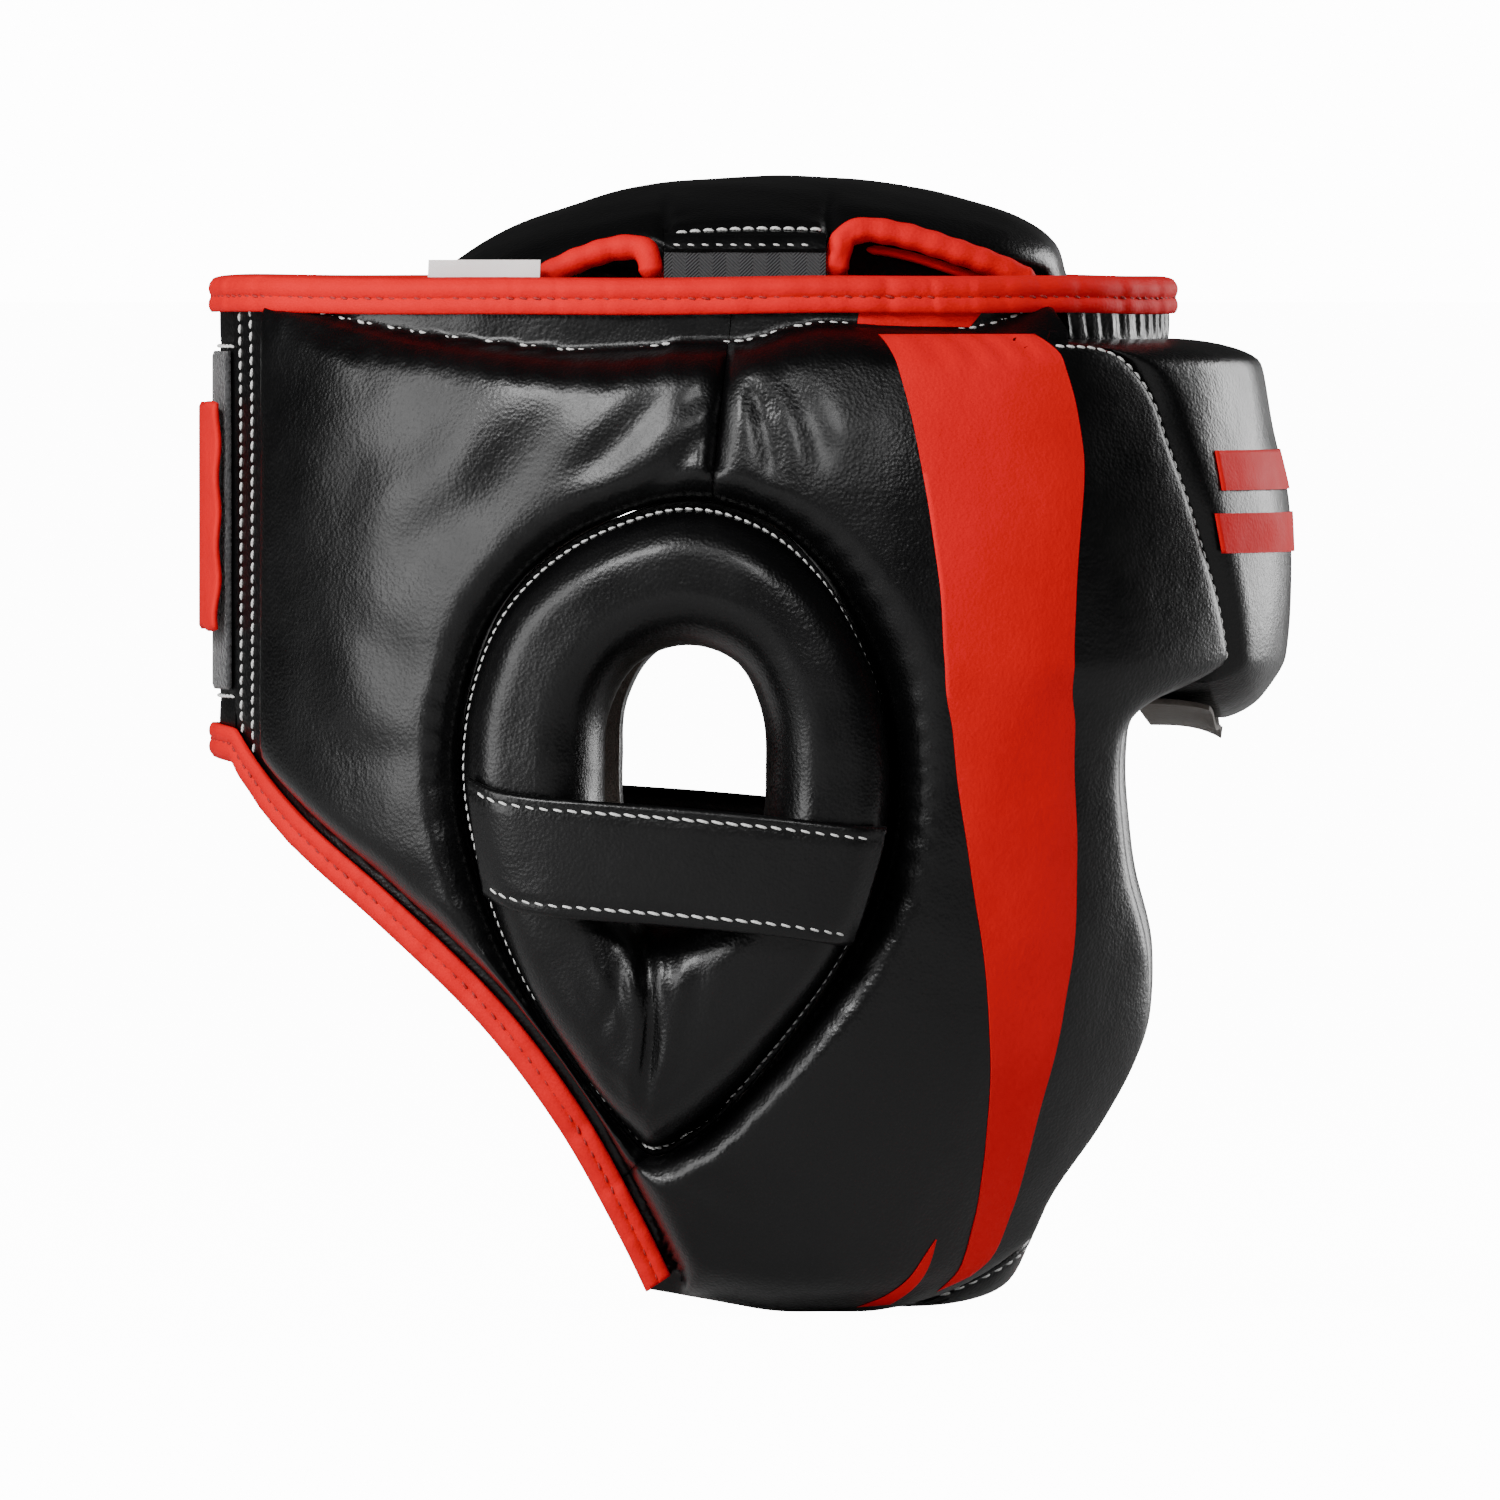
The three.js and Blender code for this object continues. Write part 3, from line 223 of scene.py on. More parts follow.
# ---------------------------------------------------------------- meshes
def make_object(
    name: str,
    points: Array,
    quads: Array,
    tris: Array | None = None,
    sharp: float = SEAM_TURN,
) -> Piece:
    """A smooth-shaded object at the origin from points in millimetres; a closed shape faces outwards.

    Args:
        name: object and mesh name.
        points: one row per vertex.
        quads: vertex numbers, four to a row.
        tris: vertex numbers, three to a row.
        sharp: edges that turn by more than this many degrees are shaded sharp.

    Returns:
        The object.
    """
    p = points.reshape(-1, 3) * MM
    tris = np.zeros((0, 3), int) if tris is None else tris
    a, b, c = p[quads[:, 0]], p[quads[:, 1]], p[quads[:, 2]]
    volume = (a * np.cross(b, c)).sum() + (a * np.cross(c, p[quads[:, 3]])).sum()
    if len(tris):
        volume += (p[tris[:, 0]] * np.cross(p[tris[:, 1]], p[tris[:, 2]])).sum()
    if volume < 0:
        quads, tris = quads[:, ::-1], tris[:, ::-1]
    mesh = bpy.data.meshes.new(name)
    mesh.vertices.add(len(p))
    mesh.vertices.foreach_set("co", p.ravel())
    corners = np.concatenate([quads.ravel(), tris.ravel()])
    mesh.loops.add(len(corners))
    mesh.loops.foreach_set("vertex_index", corners)
    quad_corners = 4 * len(quads)
    starts = np.concatenate([np.arange(0, quad_corners, 4), quad_corners + np.arange(len(tris)) * 3])
    mesh.polygons.add(len(starts))
    mesh.polygons.foreach_set("loop_start", starts)
    mesh.polygons.foreach_set("use_smooth", np.ones(len(starts), bool))
    mesh.update(calc_edges=True)
    mesh.validate()
    mesh.set_sharp_from_angle(angle=math.radians(sharp))
    obj = bpy.data.objects.new(name, mesh)
    bpy.context.scene.collection.objects.link(obj)
    return obj


def grid_uv(obj: Piece, u: Array, v: Array) -> None:
    """Gives an object one UV pair per vertex, in metres along the surface.

    Args:
        obj: the object, whose vertices are in the order of u and v.
        u: first coordinate in millimetres, one per vertex.
        v: second coordinate.
    """
    mesh = obj.data
    index = np.empty(len(mesh.loops), int)
    mesh.loops.foreach_get("vertex_index", index)
    layer = mesh.uv_layers.new(name="surface")
    pairs = np.stack([u.ravel(), v.ravel()], 1)[index] * MM
    layer.data.foreach_set("uv", pairs.ravel())


def slab(name: str, top: Array, base: Array, ring: bool = False, sharp: float = SEAM_TURN) -> Piece:
    """A closed shape between two grids of points, joined by walls along their outer lines.

    Args:
        name: object name.
        top: outer face, indexed [line, node, xyz].
        base: inner face on the same grid.
        ring: the last line joins the first.
        sharp: see make_object.

    Returns:
        The object.
    """
    nu, nv = top.shape[:2]
    lines = np.arange(nu if ring else nu - 1)[:, None]
    nodes = np.arange(nv - 1)[None, :]
    low = nu * nv

    def at(i: Array, j: Array) -> Array:
        """Vertex number of a top node."""
        return (i % nu) * nv + j

    a, b = at(lines, nodes), at(lines + 1, nodes)
    c, d = at(lines + 1, nodes + 1), at(lines, nodes + 1)
    faces = [np.stack([a, b, c, d], -1), np.stack([d, c, b, a], -1) + low]
    i = lines[:, 0]
    for j, turn in ((0, True), (nv - 1, False)):
        p, q = at(i, j), at(i + 1, j)
        wall = [q, p, p + low, q + low] if turn else [p, q, q + low, p + low]
        faces.append(np.stack(wall, -1))
    if not ring:
        j = nodes[0]
        for line, turn in ((0, False), (nu - 1, True)):
            p, q = at(line, j), at(line, j + 1)
            wall = [q, p, p + low, q + low] if turn else [p, q, q + low, p + low]
            faces.append(np.stack(wall, -1))
    quads = np.concatenate([f.reshape(-1, 4) for f in faces])
    points = np.concatenate([top.reshape(-1, 3), base.reshape(-1, 3)])
    return make_object(name, points, quads, sharp=sharp)


def swept(name: str, sections: Array, loop: bool = False, sharp: float = SEAM_TURN) -> Piece:
    """A closed section carried along a path.

    Args:
        name: object name.
        sections: points indexed [station, corner, xyz].
        loop: the path's end joins its start; otherwise each end is closed by a fan.
        sharp: see make_object.

    Returns:
        The object.
    """
    count, corners = sections.shape[:2]
    i = np.arange(count if loop else count - 1)[:, None]
    k = np.arange(corners)[None, :]
    on = (k + 1) % corners
    after = (i + 1) % count
    quads = np.stack([i * corners + k, i * corners + on, after * corners + on, after * corners + k], -1)
    points = sections.reshape(-1, 3)
    tris = None
    if not loop:
        k, on = k[0], on[0]
        last = (count - 1) * corners
        start, end = len(points), len(points) + 1
        points = np.vstack([points, sections[0].mean(0), sections[-1].mean(0)])
        tris = np.concatenate([
            np.stack([np.full(corners, start), on, k], 1),
            np.stack([np.full(corners, end), last + k, last + on], 1),
        ])
    return make_object(name, points, quads.reshape(-1, 4), tris, sharp)


def tube_sections(path: Array, radius: Array | float, corners: int = 14) -> Array:
    """Round sections square to a path, upright along its first crossways direction."""
    ahead = unit(np.gradient(path, axis=0))
    u = unit(np.cross(ahead, [0.0, 0.0, 1.0]))
    v = np.cross(ahead, u)
    a = np.linspace(0, 2 * np.pi, corners, endpoint=False)[None, :, None]
    r = np.broadcast_to(np.asarray(radius, float), (len(path),))[:, None, None]
    return path[:, None] + r * (np.cos(a) * u[:, None] + np.sin(a) * v[:, None])


def surface_normals(grid: Array) -> Array:
    """Unit directions square to a grid of points, from its two families of lines."""
    return unit(np.cross(np.gradient(grid, axis=0), np.gradient(grid, axis=1)))


# ---------------------------------------------------------------- finishes
class Finish(Enum):
    """The finishes of this headgear."""

    BLACK = "black_leather"
    RED = "red_leather"
    LINING = "lining"
    WEBBING = "webbing"
    HOOK = "hook_and_loop"
    LABEL = "label"
    WHITE_THREAD = "white_thread"
    RED_THREAD = "red_thread"


class Nodes:
    """A material's node tree, with short calls to add and link nodes."""

    def __init__(self, name: str) -> None:
        """Starts an empty material with a Principled shader."""
        self.material = bpy.data.materials.new(name)
        self.material.use_nodes = True
        self.tree = self.material.node_tree
        self.shader = self.tree.nodes["Principled BSDF"]
        self.place = self.add("ShaderNodeTexCoord").outputs["Object"]

    def add(self, kind: str, settings: dict | None = None, **inputs: object) -> bpy.types.Node:
        """Adds a node.

        Args:
            kind: Blender's node type.
            settings: the node's own options.
            inputs: socket name, underscores for spaces, to a value or a socket to link from.

        Returns:
            The node.
        """
        node = self.tree.nodes.new(kind)
        for key, value in (settings or {}).items():
            setattr(node, key, value)
        for key, value in inputs.items():
            self.feed(node.inputs[key.replace("_", " ")], value)
        return node

    def feed(self, socket: Socket, value: object) -> None:
        """Links a socket from another, or sets its value."""
        if isinstance(value, Socket):
            self.tree.links.new(value, socket)
        else:
            socket.default_value = value

    def math(self, operation: str, a: object, b: object = 0.0) -> Socket:
        """One sum on two values."""
        node = self.add("ShaderNodeMath", {"operation": operation})
        self.feed(node.inputs[0], a)
        self.feed(node.inputs[1], b)
        return node.outputs[0]

    def noise(self, scale: float, detail: float = 2.0, rough: float = 0.5) -> Socket:
        """Noise value at a scale per metre."""
        node = self.add("ShaderNodeTexNoise", Vector=self.place, Scale=scale, Detail=detail, Roughness=rough)
        return node.outputs[0]

    def span(self, value: object, low: float, high: float, start: float = 0.0, end: float = 1.0) -> Socket:
        """Maps a value from start..end to low..high."""
        node = self.add("ShaderNodeMapRange", Value=value)
        for key, number in (("From Min", start), ("From Max", end), ("To Min", low), ("To Max", high)):
            node.inputs[key].default_value = number
        return node.outputs[0]

    def blend(self, factor: object, first: Sequence[float], second: Sequence[float]) -> Socket:
        """Mixes two colours."""
        node = self.add("ShaderNodeMix", {"data_type": "RGBA"})
        self.feed(node.inputs[0], factor)
        node.inputs[6].default_value = (*first, 1)
        node.inputs[7].default_value = (*second, 1)
        return node.outputs[2]

    def bump(self, height: object, depth: float, under: object = None) -> Socket:
        """A bump of the given depth in metres over another normal."""
        node = self.add("ShaderNodeBump", Height=height, Distance=depth)
        if under is not None:
            self.feed(node.inputs["Normal"], under)
        return node.outputs[0]

    def shade(self, **inputs: object) -> None:
        """Sets or links the shader's own sockets."""
        for key, value in inputs.items():
            self.feed(self.shader.inputs[key.replace("_", " ")], value)


@dataclass(frozen=True)
class Leather:
    """Grained synthetic leather with a broad soft shine.

    Grain is cells of about grain millimetres whose borders are sunk, over softer wrinkles; the colour and the
    shine wander a little over the surface.
    """

    name: str
    colour: tuple[float, float, float]
    faded: tuple[float, float, float]
    rough: tuple[float, float] = (0.34, 0.46)
    grain: float = 0.85
    grain_depth: float = 0.00011
    coat: float = 0.2
    shine: float = 0.42

    def make(self) -> bpy.types.Material:
        """The material."""
        n = Nodes(self.name)
        voronoi = n.add("ShaderNodeTexVoronoi", {"feature": "SMOOTH_F1"}, Vector=n.place, Smoothness=0.55)
        voronoi.inputs["Scale"].default_value = 1 / (self.grain * MM)
        cells = voronoi.outputs[0]
        fine = n.noise(2600, 3, 0.6)
        soft = n.noise(160, 4, 0.55)
        broad = n.noise(22, 2)
        pores = n.math("ADD", n.math("MULTIPLY", cells, 0.75), n.math("MULTIPLY", fine, 0.3))
        wrinkles = n.bump(soft, 0.00022)
        mottle = n.math("ADD", broad, n.math("MULTIPLY", soft, 0.5))
        n.shade(
            Base_Color=n.blend(n.span(mottle, 0, 1, 0.45, 1.05), self.colour, self.faded),
            Roughness=n.span(n.noise(60, 3), self.rough[0], self.rough[1], 0.3, 0.7),
            Normal=n.bump(pores, self.grain_depth, wrinkles),
        )
        n.shade(Coat_Weight=self.coat, Coat_Roughness=0.2, Specular_IOR_Level=self.shine)
        return n.material


@dataclass(frozen=True)
class Suede:
    """Short-napped suede lining: a fine fibrous bump, cloudy colour and a soft sheen."""

    name: str
    dark: tuple[float, float, float] = (0.05, 0.042, 0.036)
    light: tuple[float, float, float] = (0.13, 0.108, 0.09)

    def make(self) -> bpy.types.Material:
        """The material."""
        n = Nodes(self.name)
        nap = n.noise(1500, 4, 0.7)
        cloud = n.noise(55, 4, 0.6)
        mottle = n.math("ADD", cloud, n.math("MULTIPLY", nap, 0.35))
        n.shade(
            Base_Color=n.blend(n.span(mottle, 0, 1, 0.4, 0.95), self.dark, self.light),
            Roughness=n.span(nap, 0.82, 1.0, 0.3, 0.7),
            Normal=n.bump(nap, 0.0003, n.bump(cloud, 0.0006)),
        )
        n.shade(Sheen_Weight=0.35, Sheen_Roughness=0.5)
        return n.material


@dataclass(frozen=True)
class Weave:
    """Herringbone webbing on the piece's own UV: slanted ribs that change direction in each column."""

    name: str
    colour: tuple[float, float, float]
    # lighter colour of the rib tops, a painted highlight; colour is the painted shade in the grooves
    rib_highlight: tuple[float, float, float]
    rib: float = 0.9
    column: float = 3.2
    depth: float = 0.0003

    def make(self) -> bpy.types.Material:
        """The material."""
        n = Nodes(self.name)
        uv = n.add("ShaderNodeUVMap", {"uv_map": "surface"}).outputs[0]
        parts = n.add("ShaderNodeSeparateXYZ", Vector=uv).outputs
        zigzag = n.math("PINGPONG", parts[0], self.column * MM)
        slanted = n.math("ADD", parts[1], zigzag)
        ribs = n.math("SINE", n.math("MULTIPLY", slanted, 2 * math.pi / (self.rib * MM)))
        fibre = n.noise(2200, 3, 0.6)
        height = n.math("ADD", n.span(ribs, 0, 1, -1, 1), n.math("MULTIPLY", fibre, 0.4))
        # painted highlight and shade: the colour follows the rib height, lighter on the ribs and darker in
        # the grooves
        n.shade(
            Base_Color=n.blend(n.span(height, 0, 1, 0.2, 1.3), self.colour, self.rib_highlight),
            Roughness=n.span(fibre, 0.7, 0.95, 0.3, 0.7),
            Normal=n.bump(height, self.depth),
        )
        n.shade(Sheen_Weight=0.2)
        return n.material


@dataclass(frozen=True)
class Nap:
    """Hook-and-loop pile: dense tangled fibre."""

    name: str
    colour: tuple[float, float, float] = (0.01, 0.01, 0.011)
    # lighter colour of the standing pile, a painted highlight; colour is the painted shade in its hollows
    raised: tuple[float, float, float] = (0.035, 0.035, 0.037)

    def make(self) -> bpy.types.Material:
        """The material."""
        n = Nodes(self.name)
        pile = n.add("ShaderNodeTexVoronoi", Vector=n.place, Scale=900.0).outputs[0]
        tangle = n.noise(700, 4, 0.7)
        height = n.math("ADD", pile, tangle)
        # painted highlight and shade: the colour follows the pile height, lighter on top and darker in the
        # hollows
        n.shade(
            Base_Color=n.blend(n.span(height, 0, 1, 0.5, 1.3), self.colour, self.raised),
            Roughness=n.span(tangle, 0.8, 1.0, 0.3, 0.7),
            Normal=n.bump(height, 0.0005),
        )
        n.shade(Sheen_Weight=0.3)
        return n.material


@dataclass(frozen=True)
class Thread:
    """Twisted sewing thread: fine slanted plies and slight fuzz."""

    name: str
    colour: tuple[float, float, float]
    shade_colour: tuple[float, float, float]

    def make(self) -> bpy.types.Material:
        """The material."""
        n = Nodes(self.name)
        slanted = {"bands_direction": "DIAGONAL"}
        wave = n.add("ShaderNodeTexWave", slanted, Vector=n.place, Scale=900.0, Distortion=2.0)
        ply = wave.outputs[1]
        fuzz = n.noise(3000, 2)
        raised = n.span(n.math("ADD", ply, fuzz), 0, 1, 0.3, 1.5)
        n.shade(
            Base_Color=n.blend(raised, self.shade_colour, self.colour),
            Roughness=n.span(fuzz, 0.55, 0.8, 0.3, 0.7),
            Normal=n.bump(ply, 0.0001),
        )
        return n.material


class Wardrobe:
    """Makes each finish once and dresses pieces in it."""

    SLOTS = {Finish.WHITE_THREAD: "label", Finish.RED_THREAD: "red_leather"}

    def __init__(self) -> None:
        """Makes every material."""
        black = Leather(
            "black_leather_finish",
            colour=(0.0006, 0.0006, 0.0007),
            faded=(0.0016, 0.0016, 0.0018),
            rough=(0.29, 0.4),
            coat=0.12,
            shine=0.27,
        )
        red = Leather(
            "red_leather_finish",
            colour=(0.64, 0.002, 0.006),
            faded=(0.71, 0.004, 0.009),
            rough=(0.55, 0.7),
            coat=0.0,
            shine=0.08,
            grain_depth=0.00008,
        )
        # the second colour of each weave is its painted rib highlight
        webbing = Weave("webbing_finish", colour=(0.008, 0.008, 0.009), rib_highlight=(0.03, 0.03, 0.033))
        label = Weave(
            "label_finish",
            colour=(0.8, 0.8, 0.78),
            rib_highlight=(0.95, 0.95, 0.93),
            rib=0.5,
            column=2.0,
            depth=0.00006,
        )
        white = Thread("white_thread_finish", colour=(0.86, 0.86, 0.84), shade_colour=(0.5, 0.5, 0.49))
        red_thread = Thread(
            "red_thread_finish",
            colour=(0.42, 0.012, 0.012),
            shade_colour=(0.2, 0.004, 0.004),
        )
        looks = {
            Finish.BLACK: black,
            Finish.RED: red,
            Finish.LINING: Suede("suede_finish"),
            Finish.WEBBING: webbing,
            Finish.HOOK: Nap("pile_finish"),
            Finish.LABEL: label,
            Finish.WHITE_THREAD: white,
            Finish.RED_THREAD: red_thread,
        }
        self.materials = {finish: look.make() for finish, look in looks.items()}

    def dress(
        self,
        piece: Piece,
        finish: Finish,
        body: str | None = "shell",
        stands_for: Sequence[str] = (),
    ) -> Piece:
        """Gives a piece its material, body and the CAD nodes that it stands for.

        Args:
            piece: the object.
            finish: its finish.
            body: the body it moves with, or None to attach it to no body.
            stands_for: CAD nodes that it replaces.

        Returns:
            The same object.
        """
        piece.data.materials.clear()
        piece.data.materials.append(self.materials[finish])
        if body:
            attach(piece, body)
        if stands_for:
            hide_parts(*stands_for)
        log.info("%s: %d faces, %s, rides on %s", piece.name, len(piece.data.polygons), finish.value, body)
        return piece


# ---------------------------------------------------------------- head form
@dataclass
class HeadForm:
    """The lining's inner face and the padding's outer face at every height, and the chart round them.

    Each row of stations holds a height, the front reach outside and inside, the half-width outside and
    inside, and the rear reach inside. Between rows a value follows a cubic. At one height both faces are
    half ellipses in front of and behind the ears.
    """

    stations: Array = field(default_factory=lambda: np.array([
        [-12, 70, 52, 70, 49, 95], [0, 76, 58, 74, 52, 98], [14, 80, 62, 80, 57, 101],
        [40, 97, 74, 90, 66, 108], [60, 108, 82, 96, 72, 113], [83, 114, 88, 100, 76, 118],
        [110, 117, 91, 103, 79, 121.5], [130, 119, 94, 104, 80, 122.3], [145, 124, 96, 104, 80, 122.3],
        [156, 130, 96.5, 104, 80, 122.3], [190, 131, 97, 102, 79, 122.3], [210, 127, 97, 99, 77, 122.3],
        [225, 124.3, 97, 94, 75, 122.3], [232, 121.5, 97, 91, 74.4, 122.3],
        [240, 107, 97, 87.4, 74, 122.3], [252, 104, 97, 84, 74, 122.3],
    ], float))
    rear_padding: float = 8.7
    rear_surface: float = 5.0
    mean_front: float = 112.0
    mean_rear: float = 124.0
    mean_side: float = 95.0
    steps: int = 720

    def __post_init__(self) -> None:
        """Measures the mean ellipse's arc against the angle."""
        theta = (np.arange(self.steps) + 0.5) / self.steps * np.pi
        reach = np.where(theta < np.pi / 2, self.mean_front, self.mean_rear)
        speed = np.hypot(reach * np.sin(theta), self.mean_side * np.cos(theta))
        self.arc = np.concatenate([[0], np.cumsum(speed * np.pi / self.steps)])
        self.angles = np.linspace(0, np.pi, self.steps + 1)
        self.front = float(self.arc[self.steps // 2])
        self.rear = self.front - float(self.arc[-1])

    def station(self, column: int, z: Array) -> Array:
        """A station's value at height z: a cubic between rows, sloped by the rows either side."""
        x, y = self.stations[:, 0], self.stations[:, column]
        slope = np.empty_like(y)
        slope[1:-1] = (y[2:] - y[:-2]) / (x[2:] - x[:-2])
        slope[0] = (y[1] - y[0]) / (x[1] - x[0])
        slope[-1] = (y[-1] - y[-2]) / (x[-1] - x[-2])
        at = np.clip(z, x[0], x[-1])
        k = np.clip(np.searchsorted(x, at, side="left") - 1, 0, len(x) - 2)
        span = x[k + 1] - x[k]
        return cubic((at - x[k]) / span, y[k], y[k + 1], span * slope[k], span * slope[k + 1])

    def angle(self, s: Array) -> Array:
        """Angle of a chart position, from the arc table; it carries on past both centre lines."""
        arc = self.front - s
        total = self.arc[-1]
        turned = np.where(arc < 0, -1.0, 1.0)
        inside = np.abs(arc)
        over = inside > total
        angle = np.interp(np.where(over, 2 * total - inside, inside), self.arc, self.angles)
        return turned * np.where(over, 2 * np.pi - angle, angle)

    def faces(self, s: Array, z: Array) -> tuple[Array, Array]:
        """Inner and outer face points (x, y) at chart positions, by the two half ellipses."""
        theta = self.angle(s)
        c, w = np.cos(theta), np.sin(theta)
        rear = self.station(5, z)
        inside = np.stack([np.where(c > 0, self.station(2, z), rear) * c, -self.station(4, z) * w], -1)
        padded = rear + self.rear_padding
        outside = np.stack([np.where(c > 0, self.station(1, z), padded) * c, -self.station(3, z) * w], -1)
        return inside, outside

    def thickness(self, s: Array, z: Array) -> Array:
        """Full padding thickness at chart positions."""
        inside, outside = self.faces(s, z)
        return np.linalg.norm(outside - inside, axis=-1)

    def place(self, s: Array, z: Array, t: Array, side: int = RIGHT) -> Array:
        """Points in space: from the inner face towards the outer one by t, at height z.

        Args:
            s: chart position.
            z: height.
            t: height above the lining's inner face.
            side: RIGHT or LEFT.

        Returns:
            Points, xyz last.
        """
        s, z, t = np.broadcast_arrays(np.asarray(s, float), np.asarray(z, float), np.asarray(t, float))
        inside, outside = self.faces(s, z)
        way = outside - inside
        xy = inside + way * (t / np.linalg.norm(way, axis=-1))[..., None]
        return np.stack([xy[..., 0], side * xy[..., 1], z], -1)

    def chart(self, points: Sequence[Sequence[float]] | Array) -> Array:
        """Chart positions (s, z) of a side elevation's (x, z) points, read on the visible surface."""
        p = np.asarray(points, float)
        x, z = p[:, 0], p[:, 1]
        reach = np.where(x > 0, self.station(1, z), self.station(5, z) + self.rear_surface)
        theta = np.arccos(np.clip(x / reach, -1, 1))
        return np.stack([self.front - np.interp(theta, self.angles, self.arc), z], 1)


@dataclass(frozen=True)
class Stretch:
    """A stretch of the side panel's outer edge in side elevation, and the number of lines along it."""

    name: str
    points: tuple[tuple[float, float], ...]
    cells: int


@dataclass(frozen=True)
class Crease:
    """A fold in soft leather between two side-elevation points: its depth and its width across."""

    start: tuple[float, float]
    end: tuple[float, float]
    depth: float
    width: float


def crease_depth(form: HeadForm, creases: Sequence[Crease], s: Array, z: Array) -> Array:
    """How far creases sink a surface: a bell across each fold that fades at its ends, with low shoulders.

    Args:
        form: the head form that places the creases.
        creases: the folds.
        s: chart positions.
        z: heights.

    Returns:
        Depth at each point.
    """
    total = np.zeros_like(s)
    for crease in creases:
        a, b = form.chart([crease.start, crease.end])
        length = np.linalg.norm(b - a)
        along = ((s - a[0]) * (b[0] - a[0]) + (z - a[1]) * (b[1] - a[1])) / length
        across = ((s - a[0]) * (b[1] - a[1]) - (z - a[1]) * (b[0] - a[0])) / length
        across = across + 0.06 * length * np.sin(np.pi * along / length)
        fade = smooth_step(along / length * 3) * smooth_step((1 - along / length) * 3)
        q = (across / crease.width) ** 2
        total += crease.depth * fade * (np.exp(-q) - 0.45 * np.exp(-q / 5))
    return total


# ---------------------------------------------------------------- side panel outline and height
@dataclass
class SidePlan:
    """Outline, seams and surface height of one side panel on the chart, for its pads, ring and stitches.

    The panel's height is the full padding, drawn down to the flat border along the rim, the neck and the
    rear edge, rounded off along the face and jaw, and dipped at the ear ring's seam, the forehead seam and
    the dart.
    """

    form: HeadForm
    rim_top: float = 245.6
    border: float = 4.2
    stretches: tuple[Stretch, ...] = (
        Stretch("rim_front", ((-1, 245.6), (40, 245.6), (80, 245.6)), 3),
        Stretch("band_seam", ((80, 245.6), (76.9, 232)), 1),
        Stretch("forehead_seam", (
            (76.9, 232), (88, 231), (95, 227.6), (101.6, 218), (105.7, 206.4), (110, 194), (113.8, 182),
            (117, 170), (119, 158.6), (118, 150),
        ), 5),
        Stretch("brow_under", ((118, 150), (112, 146.5), (104, 143), (100.5, 140.5), (99.5, 137.5)), 2),
        Stretch("face_edge", (
            (99.5, 137.5), (98.8, 124), (100.8, 107), (104.4, 88), (102.6, 66), (90.4, 42), (79.5, 27),
            (75, 16.2),
        ), 6),
        Stretch("jaw", (
            (75, 16.2), (67, 9.6), (58, 4.8), (48, 1.8), (39, 0.3), (25, 0.2), (11, 0.4), (1, 1.6),
            (-8, 3.2), (-22.4, 5.6),
        ), 6),
        Stretch("neck", (
            (-22.4, 5.6), (-29.8, 20.6), (-44.1, 45.6), (-63.3, 70.3), (-87.4, 93.1), (-109.6, 112.7),
            (-123.2, 131.6),
        ), 7),
        Stretch("rear", ((-123.2, 131.6), (-123.2, 245.6)), 3),
        Stretch("rim_rear", (
            (-123.2, 245.6), (-113, 245.6), (-91, 245.6), (-62, 245.6), (-31, 245.6), (-1, 245.6),
        ), 5),
    )
    ring: tuple[tuple[float, float], ...] = (
        (-10, 194), (-30, 189.5), (-45, 181), (-57, 168), (-64.5, 150), (-67, 130), (-63.5, 108), (-55, 84),
        (-40.5, 60), (-28.5, 44.5), (-21.5, 38), (-12, 41.5), (1, 52.5), (16, 68), (29, 85), (38, 104),
        (41.4, 124), (40.4, 143), (34.5, 161.5), (24, 177), (9, 188.5),
    )
    hole: tuple[tuple[float, float], ...] = (
        (-12, 159.5), (-24, 155.5), (-31, 145), (-32.5, 130), (-31.5, 112), (-27, 99.5), (-20.5, 93.5),
        (-12, 96), (-1, 103), (6, 114), (8, 130), (6.5, 145), (-1, 156),
    )
    quilt_row: tuple[tuple[float, float], ...] = (
        (-122, 241.5), (-113, 240.6), (-105, 238.6), (-91.8, 235.7), (-80.8, 233.8), (-68.8, 232.1),
        (-58.4, 230.9), (-39, 229.2), (-23.4, 229.7), (-15.5, 230.9), (-6, 230.9), (4.2, 231.8),
        (13.8, 234.5), (24.8, 235.7), (37.6, 234.6), (61.6, 234.2), (71, 236.6), (76, 240.5),
    )
    dart: tuple[tuple[float, float], ...] = ((-1, 239), (-2.4, 224), (-4.6, 203))
    creases: tuple[Crease, ...] = (
        Crease((-32, 226), (-84, 176), 1.7, 8.5), Crease((-14, 224), (-44, 196), 1.5, 4.5),
        Crease((-5, 214), (-22, 196), 1.5, 3.2), Crease((3, 222), (10, 196), 1.5, 3.4),
        Crease((8, 228), (22, 198), 1.1, 4.2), Crease((-1, 228), (-14, 214), 1.2, 2.6),
        Crease((-2, 226), (9, 212), 1.1, 2.4), Crease((-108, 236), (-84, 227), 1.3, 3.4),
        Crease((-60, 222), (-100, 196), 1.1, 8), Crease((-66, 100), (-92, 112), 1.2, 4.6),
        Crease((-57, 88), (-78, 100), 1.2, 4.2), Crease((-48, 72), (-66, 84), 1.1, 3.8),
        Crease((-40, 58), (-56, 69), 0.9, 3.2), Crease((-68, 132), (-102, 140), 0.9, 7),
        Crease((-33, 44), (-46, 55), 0.9, 2.8), Crease((-70, 150), (-96, 172), 0.8, 8),
        Crease((36, 92), (58, 70), 0.5, 8), Crease((-14, 34), (6, 22), 0.9, 4),
        Crease((-18, 26), (-4, 12), 0.8, 3.6),
    )

